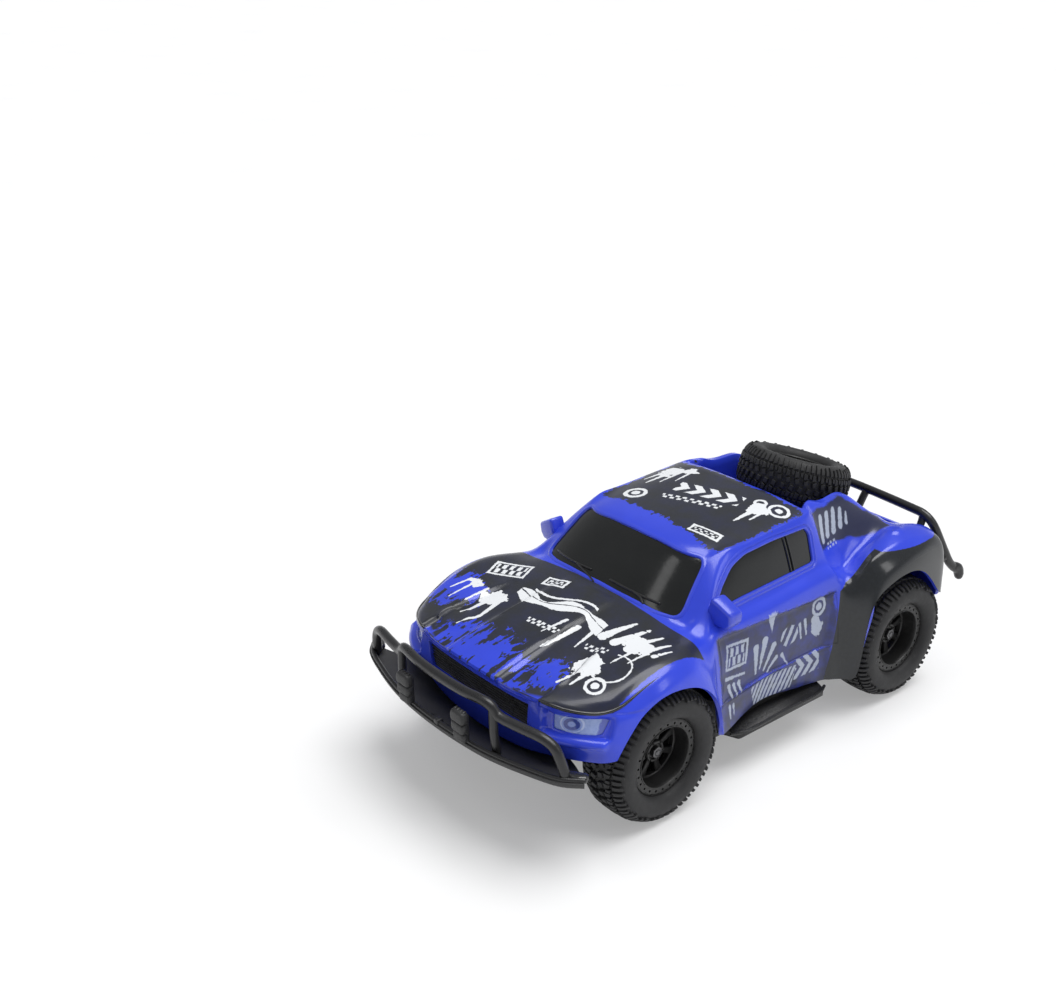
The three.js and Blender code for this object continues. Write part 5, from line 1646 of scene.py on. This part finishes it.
def fog_lamp():
    """Three rounded bulges stacked on a stalk, with a row of vents over the top."""
    grain = MATERIALS["grain"]
    stalk = [(15.4, 45.0), (21.6, 45.0), (21.6, 57.4), (15.4, 57.4)]
    things = [prism("fog", "y", -146.8, -144.4, stalk, grain, 0.8, 3)]
    x = 18.5
    # Each bulge has its foot, head, half width, front face and the slope of its upper corners.
    bulges = ((45.0, 49.5, 3.7, -148.4, 0.3), (49.2, 54.0, 4.1, -149.0, 0.3), (53.7, 59.1, 4.4, -149.2, 0.9))
    for low, high, half, face, slope in bulges:
        middle = (low + high) / 2
        outline = [(x - half + 0.4, low), (x + half - 0.4, low), (x + half, middle),
                   (x + half - slope, high), (x - half + slope, high), (x - half, middle)]
        things.append(prism("bulge", "y", face, -145.4, outline, grain, 1.25, 4))
    for x in (15.9, 17.6, 19.4, 21.1):
        vent = [(x, -147.6, 58.9), (x, -146.4, 58.95)]
        things.append(sweep("vent", vent, 0.55, MATERIALS["satin"], 8))
    return merged("fog_lamp_look_left", things)


def rear_bumper():
    """Bent rear bar with its posts, the side stubs in collars and the swollen ends."""
    satin = MATERIALS["satin"]
    things = [sweep("rear_bar", smooth_path(both_halves(REAR_BAR), 6), BAR_RADIUS, satin, 16)]
    posts = (
        ([(13, 110.6, 80), (13, 108.4, 77), (13, 106, 73.4)], 1.9),
        ([(48, 108.4, 79.2), (48.2, 107.9, 77), (48.4, 106.6, 74.4)], 1.9),
        ([(57.8, 107.2, 57.6), (57.8, 112, 57.9), (58, 117.2, 58.4)], 1.7),
        ([(59.4, 122.4, 51.6), (60, 125.2, 50.2), (60.2, 126.2, 47)], 2.4),
    )
    collar = [(57.8, 106.4, 57.5), (57.8, 108.6, 57.7)]
    for side in (1, -1):
        for path, radius in posts:
            things.append(sweep("post", smooth_path(mirrored_where(side, path), 4), radius, satin, 12))
        things.append(sweep("collar", mirrored_where(side, collar), 2.7, satin, 14, False))
    return merged("rear_bar", things)


def side_step():
    """A running board with a raised outer rail and a tread of small slanted bars."""
    grain = MATERIALS["grain"]
    section = [(50.8, 16.8), (60.4, 16.8), (61.9, 18.2), (61.9, 19.9), (60.9, 20.4), (59.6, 19.4), (51, 20.2)]
    board = prism("step", "y", -32.6, 31.6, section, grain, 0.45, 2)
    co = read_points(board.data)
    outer = np.clip((co[:, 0] - 57) / 5, 0, 1)
    reach = 32.6 - 6.5 * outer
    co[:, 1] = np.clip(co[:, 1], -reach, reach - 1)
    write_points(board.data, co)
    things = [board]
    for i in range(38):
        y = -29.2 + i * 1.56
        for k, x in enumerate((52.6, 54.8, 57.0)):
            lean = 0.55 if (i + k) % 2 else -0.55
            z = 19.95 - (x - 51) * 0.09
            path = [(x - 0.75, y - lean, z), (x + 0.75, y + lean, z - 0.06)]
            things.append(sweep("bar", path, 0.3, grain, 6))
    rail = [(58.2, -31.4, 19.4), (61.0, -26, 19.9), (61.0, 0, 19.9), (61.0, 24, 19.9), (58.2, 30.6, 19.4)]
    things.append(sweep("rail", smooth_path(rail, 5), 0.75, MATERIALS["satin"], 10))
    return merged("side_step_look_left", things)


def end_guard(name, wall, outward, half_width, low, high):
    """A ribbed guard on an end wall of the chassis tub: two rounded lips, upright ribs and a tow eye."""
    things = []
    satin = MATERIALS["satin"]
    face = wall + outward * 1.1
    for z in (low + 1.4, high - 1.4):
        lip = [(-half_width + 1.2, face, z), (0, face + outward * 0.5, z), (half_width - 1.2, face, z)]
        things.append(sweep("lip", smooth_path(lip, 6), 1.25, satin, 10))
    for x in np.linspace(-half_width + 2.4, half_width - 2.4, 7):
        outline = [(x - 0.8, low + 0.8), (x + 0.8, low + 0.8), (x + 0.8, high - 0.8), (x - 0.8, high - 0.8)]
        ends = (wall - outward * 0.4, wall + outward * 1.5)
        things.append(prism("rib", "y", *ends, outline, MATERIALS["grain"], 0.35, 2))
    middle = (low + high) / 2
    eye = [(0, wall + outward * reach, middle + up)
           for reach, up in ((0, -3.2), (3.4, -2.2), (4.2, 0), (3.4, 2.2), (0, 3.2))]
    things.append(sweep("eye", smooth_path(eye, 5), 1.0, satin, 10))
    piece = merged(name, things)
    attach(piece, "chassis")


stand_in(front_bumper(), "front_bumper")
stand_in_pair(fog_lamp(), "fog_lamp")
stand_in(rear_bumper(), "rear_bumper")
stand_in_pair(side_step(), "side_step")
end_guard("tub_guard_rear", 101, 1, 30, 14.6, 33.4)
end_guard("tub_guard_front", -108, -1, 22, 14.6, 25.6)


# ---------- CAD pieces that keep their own shape ----------

CAD_LOOKS = {
    "matte": [
        "chassis_tub", "knuckle_left", "knuckle_right", "tie_rod", "steering_servo", "steering_cover",
        "battery_box", "battery_door", "power_switch", "gearbox_lower", "gearbox_cover", "spare_mount",
    ],
    "steel": [
        "rear_axle", "reduction_pin", "kingpin_left", "kingpin_right", "switch_housing", "drive_motor",
        "body_screw_front_left", "body_screw_front_right", "body_screw_rear_left", "body_screw_rear_right",
    ],
    "brass": ["motor_pinion", "axle_bush_left", "axle_bush_right"],
    "nylon": ["axle_gear", "reduction_gear", "steering_arm"],
    "wrap": [f"battery_cell_{number}" for number in (1, 2, 3, 4)],
    "board": ["circuit_board"],
}
for look_name, nodes in CAD_LOOKS.items():
    for node in nodes:
        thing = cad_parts[node]
        thing.data.materials.clear()
        thing.data.materials.append(MATERIALS[look_name])


# ---------- floor, light and camera ----------


FLOOR_HALF = 9000
FLOOR_DROP = 0.05
FLOOR_GLOW = 0.30
SKY = (0.96, 0.97, 1.0, 1)
CENTRE = (0, 0, 0.05)

# The camera stands where the photograph was taken from.
VIEW_AZIMUTH = math.radians(50.24)
VIEW_ELEVATION = math.radians(23.59)
VIEW_SPOT = (396.6, -426.8, 355.4)
SENSOR = 36
LENS = 47.864


def floor():
    """A pale seamless floor with the faintest unevenness, lifted by a little glow of its own."""
    look = Look("floor_pale", roughness=0.7, specular=0.1)
    look.colour(look.blend(look.noise(90, 2).ramp(-1, 1), (0.60, 0.60, 0.60), (0.64, 0.64, 0.64)))
    look.shader.inputs["Emission Color"].default_value = (1, 1, 1, 1)
    look.shader.inputs["Emission Strength"].default_value = FLOOR_GLOW
    line = np.linspace(-FLOOR_HALF, FLOOR_HALF, 9)
    points = [(x, y, -FLOOR_DROP) for y in line for x in line]
    new_object("floor", points, grid_faces(len(line), len(line)), look.material)


def surroundings():
    """White at floor level, to meet the floor, and dimmer overhead."""
    world = bpy.data.worlds.new("studio")
    SCENE.world = world
    world.use_nodes = True
    tree = world.node_tree
    backdrop = tree.nodes["Background"]
    backdrop.inputs["Color"].default_value = SKY
    heading = tree.nodes.new("ShaderNodeTexCoord").outputs["Generated"]
    height = tree.nodes.new("ShaderNodeSeparateXYZ")
    tree.links.new(heading, height.inputs[0])
    glow = Num(tree, height.outputs["Z"]).ramp(0.02, 0.24, 0.97, 0.34)
    tree.links.new(glow.socket, backdrop.inputs["Strength"])


def placed_light(name, kind):
    """A light in the scene, and its settings."""
    lamp = bpy.data.lights.new(name, kind)
    thing = bpy.data.objects.new(name, lamp)
    SCENE.collection.objects.link(thing)
    return thing, lamp


def softbox(name, spot, width, height, power):
    """A soft rectangular light aimed at the car, in metres and watts."""
    thing, lamp = placed_light(name, "AREA")
    lamp.shape = "RECTANGLE"
    lamp.size = width
    lamp.size_y = height
    lamp.energy = power
    thing.location = spot
    thing.rotation_euler = (Vector(CENTRE) - Vector(spot)).to_track_quat("-Z", "Y").to_euler()


def broad_sun(name, direction, strength, spread):
    """Even light over the whole floor, as soft as a large overhead box."""
    thing, lamp = placed_light(name, "SUN")
    lamp.energy = strength
    lamp.angle = math.radians(spread)
    thing.rotation_euler = Vector(direction).to_track_quat("Z", "Y").to_euler()


def add_camera():
    """The camera at the photograph's viewing angle."""
    camera = bpy.data.cameras.new("camera")
    camera.sensor_width = SENSOR
    camera.lens = LENS
    camera.clip_start = 0.01
    viewer = bpy.data.objects.new("camera", camera)
    SCENE.collection.objects.link(viewer)
    back = Vector((
        math.sin(VIEW_AZIMUTH) * math.cos(VIEW_ELEVATION),
        -math.cos(VIEW_AZIMUTH) * math.cos(VIEW_ELEVATION),
        math.sin(VIEW_ELEVATION),
    ))
    viewer.location = place(VIEW_SPOT)
    viewer.rotation_euler = back.to_track_quat("Z", "Y").to_euler()
    bpy.context.scene.camera = viewer


floor()
surroundings()
broad_sun("overhead", (0.12, 0.24, 1.0), 2.7, 46)
softbox("right", (1.1, 0.55, 0.8), 0.25, 0.5, 1.3)
softbox("front", (-0.27, -0.66, 1.03), 0.16, 0.34, 0.3)
add_camera()
SCENE.view_settings.view_transform = "Standard"
